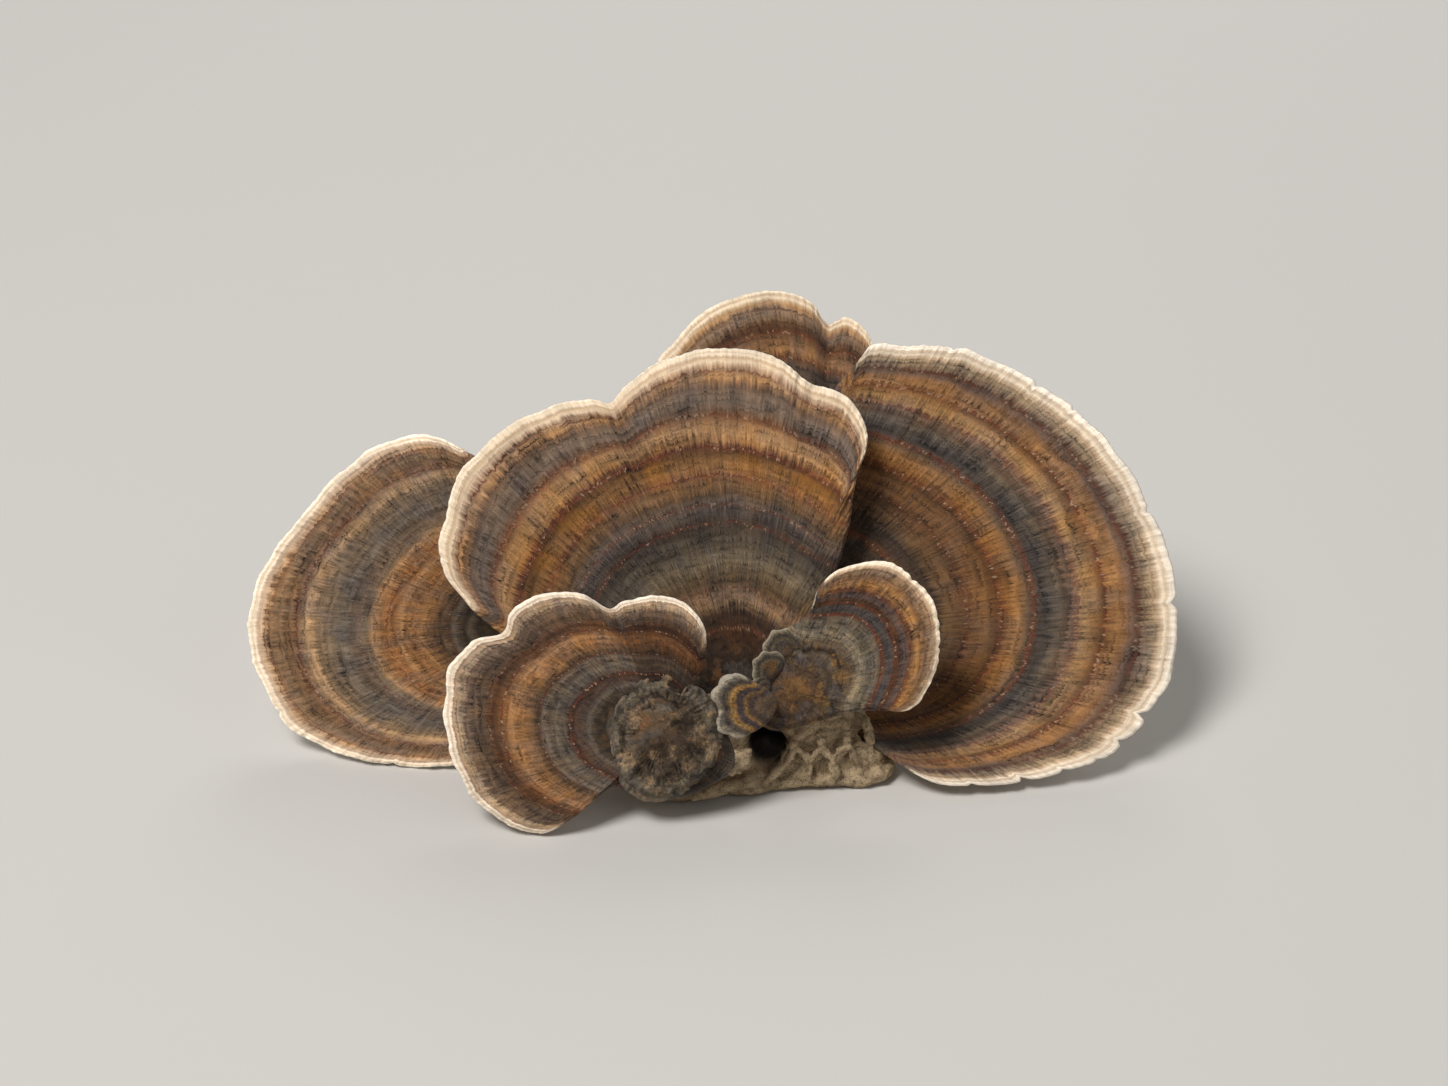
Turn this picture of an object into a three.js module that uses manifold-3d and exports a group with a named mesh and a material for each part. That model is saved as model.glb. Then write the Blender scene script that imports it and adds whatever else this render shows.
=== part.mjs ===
// Turkey tail mushroom: a rosette of thin, leathery brackets that grew out of one tough base.
// Millimetres, +Z up, -Y to the front. The origin is the centre of the flat cut under the base.
import * as THREE from "three";
import { mergeVertices } from "three/addons/utils/BufferGeometryUtils.js";
import Module from "manifold-3d";

const wasm = await Module();
wasm.setup();

// Driving dimensions, mm
const EDGE_THICKNESS = 1.3; // a bracket just inside its margin
const NECK_THICKNESS = 3.6; // a bracket where it leaves the base
const MARGIN_ROLL = 0.8; // how far the margin bends down past the last zones
const MARGIN_START = 0.8; // where that bend starts, as a share of the reach
const DISH = 1.6; // power of the rise from the middle to the margin
const GAP = 0.4; // a cutter grows by this, which leaves about 0.3 at its folds
const SLIVER = 0.02; // a cut leaves no facet thinner than this
const BASE_HEIGHT = 8.8;
const BASE_SLOPE = 0.4; // how much higher it is for each mm behind the origin
const BASE_SQUARENESS = 4; // power of its fall towards the sides: higher is steeper
const BASE_LIP = 1.2; // thickness of its lowest edge

// How the meshes are divided
const STEPS_PER_POINT = 2; // around a bracket, for each point of its margin
const RINGS = [0, 0.3, 0.58, 0.82, 0.96, 1]; // shares of the reach

// Each bracket is a fan round one middle. tilt is how far its upper face leans forward from level,
// turn how far it then turns about Z. A margin point is [angle, reach, rise] in the fan's own plane:
// degrees from its +X, mm from the middle, and mm above the plane.
const BRACKETS = {
  middle_cap: {
    middle: [-3.8, -3.9, 6.6],
    tilt: 54,
    turn: 0,
    margin: [
      [176, 20, 4.6], [-160, 6, 0], [-90, 4, 0], [-20, 4.5, 0], [40, 9, 0.6],
      [51, 19, 2.6], [57, 26, 4.6], [61.6, 32, 6], [62.8, 36, 6], [65, 38.8, 5.6],
      [70, 41.5, 5.2], [77, 42, 4.8], [84, 44.6, 5], [93, 45.6, 5], [102, 45.2, 5],
      [110, 43.4, 5], [114, 42.2, 4.4], [117, 43.6, 4.8], [124, 45.3, 5.4],
      [132, 46.4, 6.4], [141, 46.4, 7.8], [149, 44.6, 9], [157, 41.8, 9.4],
      [164.5, 34, 10],
    ],
  },
  right_cap: {
    middle: [0, 3.4, 11.3],
    tilt: 53,
    turn: 0,
    margin: [
      [80, 28, 1.6], [98, 16, 0.6], [130, 8, 0], [-170, 5.5, 0], [-110, 5.5, 0],
      [-64, 8, 1.4], [-54, 13.5, 5], [-49, 19, 9], [-46.6, 23.6, 10.8], [-43.6, 28.4, 11.2], [-38, 33, 11],
      [-30, 38.8, 10], [-22, 45.4, 9], [-15, 49.4, 8], [-6, 52.6, 7], [4, 53.5, 6.4],
      [15, 53.2, 5.7], [26, 52, 4.8], [36, 50.6, 3.9], [46, 48.5, 3.2],
      [55, 46.4, 3], [64, 43.2, 3], [70, 41.4, 3], [72, 38.5, 2.8],
    ],
  },
  left_cap: {
    middle: [-32.2, 2.8, 13.1],
    tilt: 60,
    turn: -6,
    margin: [
      [108, 23.4, 2.4], [117, 27.6, 3.2], [128, 30.3, 3.4], [139, 31.4, 3.4], [151, 32.2, 3.5],
      [163, 33.8, 4], [174, 35.6, 4.6], [-175, 36, 5.2], [-165, 34.8, 5.4], [-155, 33.2, 5.8],
      [-146, 30.2, 6.3], [-137, 26.6, 6.5], [-127, 23.4, 6.7], [-114, 20, 6.7], [-92, 16, 4.4],
      [-62, 15, 1], [-33, 21, -1], [-22, 25.5, -2], [-12, 20, -1.4], [14, 13, 0],
      [50, 13.5, 0], [82, 18, 1],
    ],
  },
  back_cap: {
    middle: [7.1, 12.9, 17.7],
    tilt: 50,
    turn: 2,
    margin: [
      [136, 29, 2], [148, 20, 1], [172, 10, 0], [-150, 7.5, -0.6], [-90, 10, -1.6],
      [-30, 7.5, -0.6], [40, 8, 0], [68, 17, 1.4], [74, 26, 2.4], [76, 30.6, 2.4],
      [82, 33, 2.4], [87, 32.6, 2], [91, 35, 2.4], [98, 36.8, 2.4], [107, 37.2, 2.4],
      [116, 36.8, 2.4], [123, 35.3, 2.4], [129, 34, 2.4],
    ],
  },
  front_left_cap: {
    middle: [-13.1, -18.7, 10.9],
    tilt: 60,
    turn: -6,
    neck: 7,
    boss: 2.4,
    bossReach: 6.5,
    margin: [
      [-97, 8.8, 0], [-58, 8.6, 0], [-22, 9.6, 0], [15, 7, 0], [48, 7, 0],
      [63, 10.4, 2], [73, 14.6, 4], [85, 16.7, 4], [98, 17.3, 3.8], [110, 17.4, 3],
      [118, 17, 2], [124, 20.4, 3], [134, 23.2, 3.4], [144, 24.7, 3.5], [152, 24.4, 3],
      [158, 27, 3.6], [166, 28.4, 4], [176, 28.3, 4], [-172, 27.3, 4], [-160, 26, 3.6],
      [-148, 23.6, 3.2], [-138, 20.4, 3], [-134, 16, 3], [-130, 9.8, 1.2],
    ],
  },
  front_right_cap: {
    middle: [2.6, -15.4, 14.7],
    tilt: 58,
    turn: 10,
    neck: 5,
    margin: [
      [92, 7.4, 0.6], [120, 4.8, 0], [165, 4.6, 0], [-155, 5.8, 0], [-120, 5.4, 0],
      [-75, 4.6, 0], [-30, 7, 0.4], [-18, 10.6, 1.6], [-15, 14.4, 2.8], [-7, 16.8, 3],
      [6, 18.8, 3], [20, 20.5, 3], [33, 21.2, 3], [44, 20.9, 3], [55, 19, 3],
      [64, 16.8, 3], [71, 13.6, 2.6], [72, 10.6, 1.8],
    ],
  },
  bud_cap: {
    middle: [-1.9, -19.2, 15.4],
    tilt: 62,
    turn: -10,
    edge: 1,
    neck: 2,
    margin: [
      [100, 2.8, 0.3], [128, 4.4, 0.7], [154, 5, 0.9], [178, 5.3, 1], [-165, 4.4, 0.6],
      [-150, 5.4, 1], [-130, 5.2, 0.9], [-106, 4.4, 0.6], [-60, 3, 0], [0, 2.6, 0],
      [55, 2.4, 0],
    ],
  },
  young_cap_1: {
    middle: [3, -12.6, 21.6],
    tilt: 60,
    turn: -20,
    edge: 0.8,
    neck: 1,
    margin: [
      [60, 1.7, 0], [110, 2, 0.3], [150, 2, 0.4], [-160, 1.8, 0.3], [-100, 1.5, 0],
      [-20, 1.2, 0],
    ],
  },
  young_cap_2: {
    middle: [0.9, -13.5, 18.7],
    tilt: 60,
    turn: -25,
    edge: 0.8,
    neck: 1,
    margin: [
      [80, 1.6, 0], [130, 1.8, 0.3], [175, 1.9, 0.4], [-130, 1.9, 0.3], [-80, 1.6, 0],
      [0, 1, 0],
    ],
  },
  young_cap_3: {
    middle: [-0.9, -15, 16.3],
    tilt: 60,
    turn: -10,
    edge: 0.8,
    neck: 0.9,
    margin: [
      [60, 1.3, 0], [110, 1.5, 0.2], [150, 1.5, 0.3], [-160, 1.2, 0.2], [-90, 1, 0],
      [0, 1.1, 0],
    ],
  },
};

// The cut under the base, as [angle, reach] round the origin
const FOOT = [
  [45, 15], [80, 13.6], [115, 14.4], [150, 15.6], [180, 15.5], [-160, 16.5],
  [-140, 20.4], [-128, 23.4], [-116, 19.6], [-100, 17.4], [-80, 15.8], [-60, 17.6],
  [-42, 20.5], [-22, 15.6], [0, 15],
];

// Swellings of the base that carry the two front brackets: centre and half sizes
const SHOULDERS = [
  { centre: [4.6, -11, 8.6], half: [6.6, 4.6, 5.4] },
  { centre: [-12.2, -13, 7.4], half: [5.6, 5, 6] },
];

const COLOURS = {
  cap: new THREE.Color(0.36, 0.24, 0.14),
  youngCap: new THREE.Color(0.42, 0.36, 0.29),
  base: new THREE.Color(0.6, 0.48, 0.34),
};

// A closed smooth line through points given by angle, reach and rise.
function loop(points) {
  const corners = points.map(([angle, reach, rise = 0]) => {
    const turn = THREE.MathUtils.degToRad(angle);
    return new THREE.Vector3(reach * Math.cos(turn), reach * Math.sin(turn), rise);
  });
  return new THREE.CatmullRomCurve3(corners, true, "catmullrom", 0.5);
}

// A ball whose north-south lines are bent: place(along, ring, upper) says where a vertex goes.
function bentBall(pointCount, place) {
  const last = RINGS.length - 1;
  const ball = new THREE.SphereGeometry(1, pointCount * STEPS_PER_POINT, 2 * last);
  const position = ball.getAttribute("position");
  const uv = ball.getAttribute("uv");
  for (let i = 0; i < position.count; i++) {
    const row = Math.round((1 - uv.getY(i)) * 2 * last);
    const upper = row <= last;
    const ring = RINGS[upper ? row : 2 * last - row];
    const moved = place((uv.getX(i) + 1) % 1, ring, upper);
    position.setXYZ(i, moved.x, moved.y, moved.z);
  }
  ball.deleteAttribute("normal");
  ball.deleteAttribute("uv");
  return mergeVertices(ball, 1e-4);
}

// Half the thickness at a ring: thin and rounded at the margin, thicker towards the middle.
function halfThickness(bracket, ring) {
  const edge = bracket.edge ?? EDGE_THICKNESS;
  const neck = bracket.neck ?? NECK_THICKNESS;
  const thickness = edge + (neck - edge) * (1 - ring) ** 1.5;
  return ring === 1 ? 0 : thickness / 2;
}

// The height of the middle layer over the fan's plane.
function layerHeight(bracket, rise, reach, ring) {
  const rolled = Math.max(0, (ring - MARGIN_START) / (1 - MARGIN_START)) ** 2;
  const { boss = 0, bossReach = 1 } = bracket;
  const swell = boss * Math.exp(-(((ring * reach) / bossReach) ** 2));
  const roll = Math.min(MARGIN_ROLL, reach / 20);
  return (rise + roll) * ring ** DISH - roll * rolled + swell;
}

function bracketGeometry(bracket) {
  const margin = loop(bracket.margin);
  return bentBall(bracket.margin.length, (along, ring, upper) => {
    const edge = margin.getPoint(along);
    const layer = layerHeight(bracket, edge.z, Math.hypot(edge.x, edge.y), ring);
    const half = halfThickness(bracket, ring);
    return new THREE.Vector3(edge.x * ring, edge.y * ring, layer + (upper ? half : -half));
  });
}

// The same surface moved outwards
function grown(geometry, by) {
  const position = geometry.getAttribute("position");
  geometry.computeVertexNormals();
  const normal = geometry.getAttribute("normal");
  const vertex = new THREE.Vector3();
  const out = new THREE.Vector3();
  for (let i = 0; i < position.count; i++) {
    out.fromBufferAttribute(normal, i);
    vertex.fromBufferAttribute(position, i).addScaledVector(out, by);
    position.setXYZ(i, vertex.x, vertex.y, vertex.z);
  }
  geometry.deleteAttribute("normal");
  return geometry;
}

function baseGeometry() {
  const foot = loop(FOOT);
  return bentBall(FOOT.length, (along, ring, upper) => {
    const edge = foot.getPoint(along);
    const top = BASE_HEIGHT + BASE_SLOPE * Math.max(0, edge.y * ring);
    const dome = BASE_LIP + (top - BASE_LIP) * (1 - ring ** BASE_SQUARENESS) ** 0.5;
    const height = upper && ring < 1 ? dome : 0;
    return new THREE.Vector3(edge.x * ring, edge.y * ring, height);
  });
}

function shoulderGeometry({ centre, half }) {
  const ball = new THREE.SphereGeometry(1, 18, 10).scale(...half).translate(...centre);
  ball.deleteAttribute("normal");
  ball.deleteAttribute("uv");
  return mergeVertices(ball, 1e-4);
}

// Where a bracket stands in the cluster
function placement(bracket) {
  const { degToRad } = THREE.MathUtils;
  const turned = new THREE.Euler(degToRad(bracket.tilt), 0, degToRad(bracket.turn), "ZXY");
  return new THREE.Matrix4()
    .makeRotationFromEuler(turned)
    .setPosition(new THREE.Vector3(...bracket.middle));
}

function solid(geometry) {
  const vertProperties = geometry.getAttribute("position").array;
  const triVerts = new Uint32Array(geometry.index.array);
  return new wasm.Manifold(new wasm.Mesh({ numProp: 3, vertProperties, triVerts }));
}

function geometryOf(manifold) {
  const { vertProperties, triVerts } = manifold.getMesh();
  const geometry = new THREE.BufferGeometry();
  geometry.setAttribute("position", new THREE.BufferAttribute(vertProperties, 3));
  geometry.setIndex(new THREE.BufferAttribute(triVerts, 1));
  return geometry;
}

// The bracket as a solid in the cluster's frame, grown by the gap where it cuts a neighbour
function placedSolid(name, grow = 0) {
  const bracket = BRACKETS[name];
  return solid(grown(bracketGeometry(bracket), grow).applyMatrix4(placement(bracket)));
}

function cutBy(body, names) {
  const cut = names.reduce((left, name) => left.subtract(placedSolid(name, GAP)), body);
  return cut.simplify(SLIVER);
}

function finish(colour) {
  return new THREE.MeshStandardMaterial({ color: colour, roughness: 0.85, metalness: 0 });
}

function namedMesh(name, body, colour) {
  const mesh = new THREE.Mesh(geometryOf(body), finish(colour));
  mesh.name = name;
  return mesh;
}

// Small brackets keep their shape, and the ones behind them are cut to fit.
const CUTTERS = {
  front_right_cap: ["bud_cap", "young_cap_1", "young_cap_2", "young_cap_3"],
};

const mushroom = new THREE.Group();
for (const name of Object.keys(BRACKETS)) {
  const young = name.startsWith("young") || name.startsWith("bud");
  const body = cutBy(placedSolid(name), CUTTERS[name] ?? []);
  mushroom.add(namedMesh(name, body, young ? COLOURS.youngCap : COLOURS.cap));
}
const lump = SHOULDERS.reduce(
  (left, shoulder) => left.add(solid(shoulderGeometry(shoulder))),
  solid(baseGeometry()),
);
const base = cutBy(lump, Object.keys(BRACKETS));
mushroom.add(namedMesh("base", base, COLOURS.base));

export default mushroom;
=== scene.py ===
"""Turkey tail mushroom: zoned bracket caps grown together on one pale, folded base."""

import math
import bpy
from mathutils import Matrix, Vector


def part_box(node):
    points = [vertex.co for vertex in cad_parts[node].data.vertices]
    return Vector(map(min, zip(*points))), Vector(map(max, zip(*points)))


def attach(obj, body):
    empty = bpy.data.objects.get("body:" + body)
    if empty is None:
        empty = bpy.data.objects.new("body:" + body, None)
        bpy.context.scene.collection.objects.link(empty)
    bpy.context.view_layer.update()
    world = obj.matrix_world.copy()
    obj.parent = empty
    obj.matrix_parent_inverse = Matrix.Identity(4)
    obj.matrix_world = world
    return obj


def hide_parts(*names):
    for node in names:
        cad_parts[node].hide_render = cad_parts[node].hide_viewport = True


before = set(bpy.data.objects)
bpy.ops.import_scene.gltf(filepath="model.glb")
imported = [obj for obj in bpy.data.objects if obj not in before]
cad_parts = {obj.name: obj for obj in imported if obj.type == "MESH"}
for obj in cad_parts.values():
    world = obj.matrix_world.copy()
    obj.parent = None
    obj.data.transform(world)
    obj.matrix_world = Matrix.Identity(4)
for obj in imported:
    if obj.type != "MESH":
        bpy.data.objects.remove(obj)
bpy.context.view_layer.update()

from types import SimpleNamespace

import bmesh
import bpy
import numpy as np
from bpy.props import FloatProperty, FloatVectorProperty, PointerProperty
from mathutils import Euler, Matrix, Vector

bl_info = {
    "name": "Turkey Tail Mushroom",
    "version": (1, 0, 0),
    "blender": (4, 5, 0),
    "location": "3D View > Sidebar > Mushroom",
    "description": "Builds a cluster of zoned bracket caps on their base, and a plain stage",
    "category": "Object",
}

MM = 0.001
BODY = "root"
WAVES = 10  # how many sine waves make one random ripple
CURVE_CUTS = 40  # how finely the margin's curve is cut between two of its points
EVEN_OUT = 13  # degrees of margin over which the inner rings even out its lobes
SIDE_FADE = 35  # degrees past the free margin over which the even fan takes over
FOLLOWS_CAD = 1.2 * MM  # how far a fine piece's box may differ from its CAD node's
SMALL_CAP = 20  # mm: waves and folds are lower on caps with a shorter reach than this
FREE_SIDE = (0.3, 0.62)  # shares of the full reach where the margin comes free of the base
MARGIN_ONLY = 16  # the power of the ring that keeps scallops and nicks close to the margin
PLEATS_ONLY = 24  # and the one that keeps the pleats there
STREAKS_PER_MM = 1.35  # radial streaks for each mm of a fan's reach
FEWEST_STREAKS = 4
BUMP_DEPTH = 0.2 * MM
BUMP_STRENGTH = 0.6

# Random waves along the margin: shortest and longest in mm, the step of their seed, and how far
# they drift sideways between the middle and the margin
RIPPLES = {
    "scallop": (5, 14, 1, 2), "crimp": (1.1, 2.6, 2, 2), "wave": (11, 26, 3, 2),
    "fold": (2, 5, 4, 5), "pleat": (0.8, 1.6, 7, 2),
}

# The driving dimensions of every bracket, mm, as in the CAD model
EDGE_THICKNESS = 1.3
NECK_THICKNESS = 3.6
MARGIN_ROLL = 0.8
MARGIN_START = 0.8
DISH = 1.6

# Each bracket is a fan round one middle, in mm and degrees. A ring is a share of the way from the
# middle, 0, to the margin, 1.
#   tilt, turn: how far its upper face leans forward from level, and then turns about Z
#   full_reach: the fan's usual reach; neck, edge: its thickness at the middle and at the margin
#   boss, boss_reach: height and width of a swelling on the middle
#   steps, rings: points round the fan, and from middle to margin on its upper and lower side
#   arc: the angles between which the fan is free and its rings end at the margin. Past them it
#       grows against the base or a neighbour, and the margin cuts the rings off
#   soft: degrees over which the inner rings even out the margin's lobes
#   lobes: first and last angle of a scalloped stretch, how deep the scallops are, and how many
#   matted, lumps: height of the clumps and lumps on a woolly fan
#   margin: points as (angle, reach, rise)
#   creases: (angle, depth, width, the ring where it starts); nicks: (angle, depth, width)
BRACKETS = {
    "middle_cap": {
        "middle": (-3.8, -3.9, 6.6), "tilt": 54, "turn": 0, "full_reach": 45, "soft": 24,
        "steps": 760, "arc": (60.5, 166), "rings": (64, 20),
        "margin": [
            (176, 20, 4.6), (-160, 6, 0), (-90, 4, 0), (-20, 4.5, 0), (40, 9, 0.6),
            (51, 19, 2.6), (57, 26, 4.6), (61.6, 32, 6), (62.8, 36, 6), (65, 38.8, 5.6),
            (70, 41.5, 5.2), (77, 42, 4.8), (84, 44.6, 5), (93, 45.6, 5), (102, 45.2, 5),
            (110, 43.4, 5), (114, 42.2, 4.4), (117, 43.6, 4.8), (124, 45.3, 5.4),
            (132, 46.4, 6.4), (141, 46.4, 7.8), (149, 44.6, 9), (157, 41.8, 9.4),
            (164.5, 34, 10),
        ],
        "creases": [(114, 0.8, 1.5, 0.6), (77, 0.7, 1.5, 0.6)],
        "nicks": [],
    },
    "right_cap": {
        "middle": (0, 3.4, 11.3), "tilt": 53, "turn": 0, "full_reach": 51, "soft": 18,
        "steps": 900, "arc": (-51, 71), "rings": (68, 20),
        "margin": [
            (80, 28, 1.6), (98, 16, 0.6), (130, 8, 0), (-170, 5.5, 0), (-110, 5.5, 0),
            (-64, 8, 1.4), (-54, 13.5, 5), (-49, 19, 9), (-46.6, 23.6, 10.8),
            (-43.6, 28.4, 11.2), (-38, 33, 11), (-30, 38.8, 10), (-22, 45.4, 9),
            (-15, 49.4, 8), (-6, 52.6, 7), (4, 53.5, 6.4), (15, 53.2, 5.7), (26, 52, 4.8),
            (36, 50.6, 3.9), (46, 48.5, 3.2), (55, 46.4, 3), (64, 43.2, 3), (70, 41.4, 3),
            (72, 38.5, 2.8),
        ],
        "creases": [(58.5, 0.3, 1.2, 0.8)],
        "nicks": [
            (4.2, 0.9, 0.5), (-12.6, 1.4, 0.5), (-17.4, 0.9, 0.4), (-30.5, 0.9, 0.35),
            (-37.5, 0.5, 0.3), (-25.5, 0.5, 0.3), (-21.5, 0.4, 0.3), (57, 0.5, 0.4),
            (43, 0.6, 0.4), (36.6, 0.5, 0.3), (18, 0.4, 0.4),
        ],
    },
    "left_cap": {
        "middle": (-32.2, 2.8, 13.1), "tilt": 60, "turn": -6, "full_reach": 34, "steps": 700,
        "arc": (112, 263), "rings": (60, 18),
        "margin": [
            (108, 23.4, 2.4), (117, 27.6, 3.2), (128, 30.3, 3.4), (139, 31.4, 3.4),
            (151, 32.2, 3.5), (163, 33.8, 4), (174, 35.6, 4.6), (-175, 36, 5.2),
            (-165, 34.8, 5.4), (-155, 33.2, 5.8), (-146, 30.2, 6.3), (-137, 26.6, 6.5),
            (-127, 23.4, 6.7), (-114, 20, 6.7), (-92, 16, 4.4), (-62, 15, 1), (-33, 21, -1),
            (-22, 25.5, -2), (-12, 20, -1.4), (14, 13, 0), (50, 13.5, 0), (82, 18, 1),
        ],
        "creases": [(-146, 0.4, 2.0, 0.6)],
        "nicks": [(-158, 0.4, 0.4), (-130, 0.3, 0.3)],
    },
    "back_cap": {
        "middle": (7.1, 12.9, 17.7), "tilt": 50, "turn": 2, "full_reach": 36, "steps": 560,
        "arc": (74.5, 138), "rings": (56, 18),
        "margin": [
            (136, 29, 2), (148, 20, 1), (172, 10, 0), (-150, 7.5, -0.6), (-90, 10, -1.6),
            (-30, 7.5, -0.6), (40, 8, 0), (68, 17, 1.4), (74, 26, 2.4), (76, 30.6, 2.4),
            (82, 33, 2.4), (87, 32.6, 2), (91, 35, 2.4), (98, 36.8, 2.4), (107, 37.2, 2.4),
            (116, 36.8, 2.4), (123, 35.3, 2.4), (129, 34, 2.4),
        ],
        "creases": [(87, 1.5, 1.3, 0.3)],
        "nicks": [],
    },
    "front_left_cap": {
        "middle": (-13.1, -18.7, 10.9), "tilt": 60, "turn": -6, "full_reach": 27,
        "neck": 7, "boss": 2.4, "boss_reach": 6.5,
        "steps": 720, "arc": (66, 226), "rings": (72, 20),
        "margin": [
            (-97, 8.8, 0), (-58, 8.6, 0), (-22, 9.6, 0), (15, 7, 0), (48, 7, 0),
            (63, 10.4, 2), (73, 14.6, 4), (85, 16.7, 4), (98, 17.3, 3.8), (110, 17.4, 3),
            (118, 17, 2), (124, 20.4, 3), (134, 23.2, 3.4), (144, 24.7, 3.5),
            (152, 24.4, 3), (158, 27, 3.6), (166, 28.4, 4), (176, 28.3, 4), (-172, 27.3, 4),
            (-160, 26, 3.6), (-148, 23.6, 3.2), (-138, 20.4, 3), (-134, 16, 3),
            (-130, 9.8, 1.2),
        ],
        "creases": [(152, 1.0, 1.3, 0.45), (118, 1.7, 0.9, 0.35)],
        "nicks": [],
    },
    "front_right_cap": {
        "middle": (2.6, -15.4, 14.7), "tilt": 58, "turn": 10, "full_reach": 20,
        "neck": 5, "steps": 560, "arc": (-16, 71), "rings": (64, 18),
        "lobes": (80, 205, 0.45, 5), "margin": [
            (92, 7.4, 0.6), (120, 4.8, 0), (165, 4.6, 0), (-155, 5.8, 0), (-120, 5.4, 0),
            (-75, 4.6, 0), (-30, 7, 0.4), (-18, 10.6, 1.6), (-15, 14.4, 2.8),
            (-7, 16.8, 3), (6, 18.8, 3), (20, 20.5, 3), (33, 21.2, 3), (44, 20.9, 3),
            (55, 19, 3), (64, 16.8, 3), (71, 13.6, 2.6), (72, 10.6, 1.8),
        ],
        "creases": [],
        "nicks": [(38, 0.25, 0.3), (12, 0.25, 0.3)],
    },
    "bud_cap": {
        "middle": (-0.1, -19.5, 15.4), "tilt": 62, "turn": -10, "full_reach": 6.8,
        "edge": 1.1, "neck": 2, "steps": 260, "arc": (128, 236), "rings": (36, 12),
        "lobes": (126, 240, 0.4, 6), "margin": [
            (131, 3.6, 0.3), (143, 5.8, 0.7), (161, 6.8, 0.9), (178, 7.2, 1), (-169, 6.3, 0.6),
            (-158, 7.1, 1), (-143, 6.6, 0.9), (-126, 5.2, 0.6), (-99, 2.6, 0), (0, 0.9, 0),
            (104, 2.0, 0),
        ],
        "creases": [(-168, 0.5, 0.5, 0.5)],
        "nicks": [],
    },
}

# Fans that stand for no node alone: the woolly knob on the front left bracket, and the small
# scalloped lobes along the tail of the front right one, which stand for the young caps
KNOB = {
    "middle": (-13.3, -20.2, 11.7), "tilt": 59, "turn": -4, "full_reach": 7.4,
    "edge": 2.8, "neck": 4.2, "boss": 1.6, "boss_reach": 5.6, "steps": 420,
    "arc": (0, 359), "soft": 60, "rings": (64, 14), "matted": 0.15, "lumps": 0.5,
    "margin": [
        (0, 7.3, -0.7), (30, 7.1, -0.2), (60, 7.3, 0.3), (90, 7.6, 0.5), (120, 7.4, 0.6),
        (150, 7.1, 0.7), (180, 7.0, 0.6), (-150, 7.7, 0.3), (-128, 8.8, -0.2),
        (-105, 9.2, -0.8), (-85, 8.5, -1.1), (-60, 8.0, -1.5), (-30, 8.0, -1.4),
    ],
    "creases": [], "nicks": [(60, 0.5, 0.5), (140, 0.4, 0.4), (-100, 0.5, 0.5)],
}
# A lobe's margin as (angle, share of its reach, share risen), with the outer side at 90 degrees
LOBE_MARGIN = [
    (-90, 0.3, -0.3), (-50, 0.42, -0.25), (-15, 0.62, -0.1), (12, 0.82, 0.1), (34, 0.93, 0.14),
    (55, 0.9, 0.16), (72, 1.02, 0.2), (90, 0.96, 0.18), (106, 1.04, 0.18), (124, 0.9, 0.12),
    (146, 0.92, 0.1), (168, 0.78, 0.05), (-165, 0.6, -0.1), (-130, 0.42, -0.25),
]
LOBE = {"edge": 0.9, "neck": 1.7, "steps": 140, "rings": (30, 8), "creases": [], "nicks": []}
LOBE_SPREAD = 95  # degrees either side of its outer side over which a lobe is free
# (name, node it stands for, angle and distance from the bracket's middle, height, reach), mm
LOBES = [
    ("young_lobe_1", "young_cap_1", 97, 4.9, 1.1, 3.3),
    ("young_lobe_2", "young_cap_2", 130, 3.5, 1.2, 3.0),
    ("young_lobe_3", "young_cap_3", 172, 3.3, 1.2, 2.5),
    ("young_lobe_4", "young_cap_1", 74, 5.6, 0.9, 2.7),
]

# The outline of the cut under the base, as (angle, reach) round the origin, mm
FOOT = [
    (45, 15), (80, 13.6), (115, 14.4), (150, 15.6), (180, 15.5), (-160, 16.5), (-140, 20.4),
    (-128, 23.4), (-116, 19.6), (-100, 17.4), (-80, 15.8), (-60, 17.6), (-42, 20.5),
    (-22, 15.6), (0, 15),
]
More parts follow.
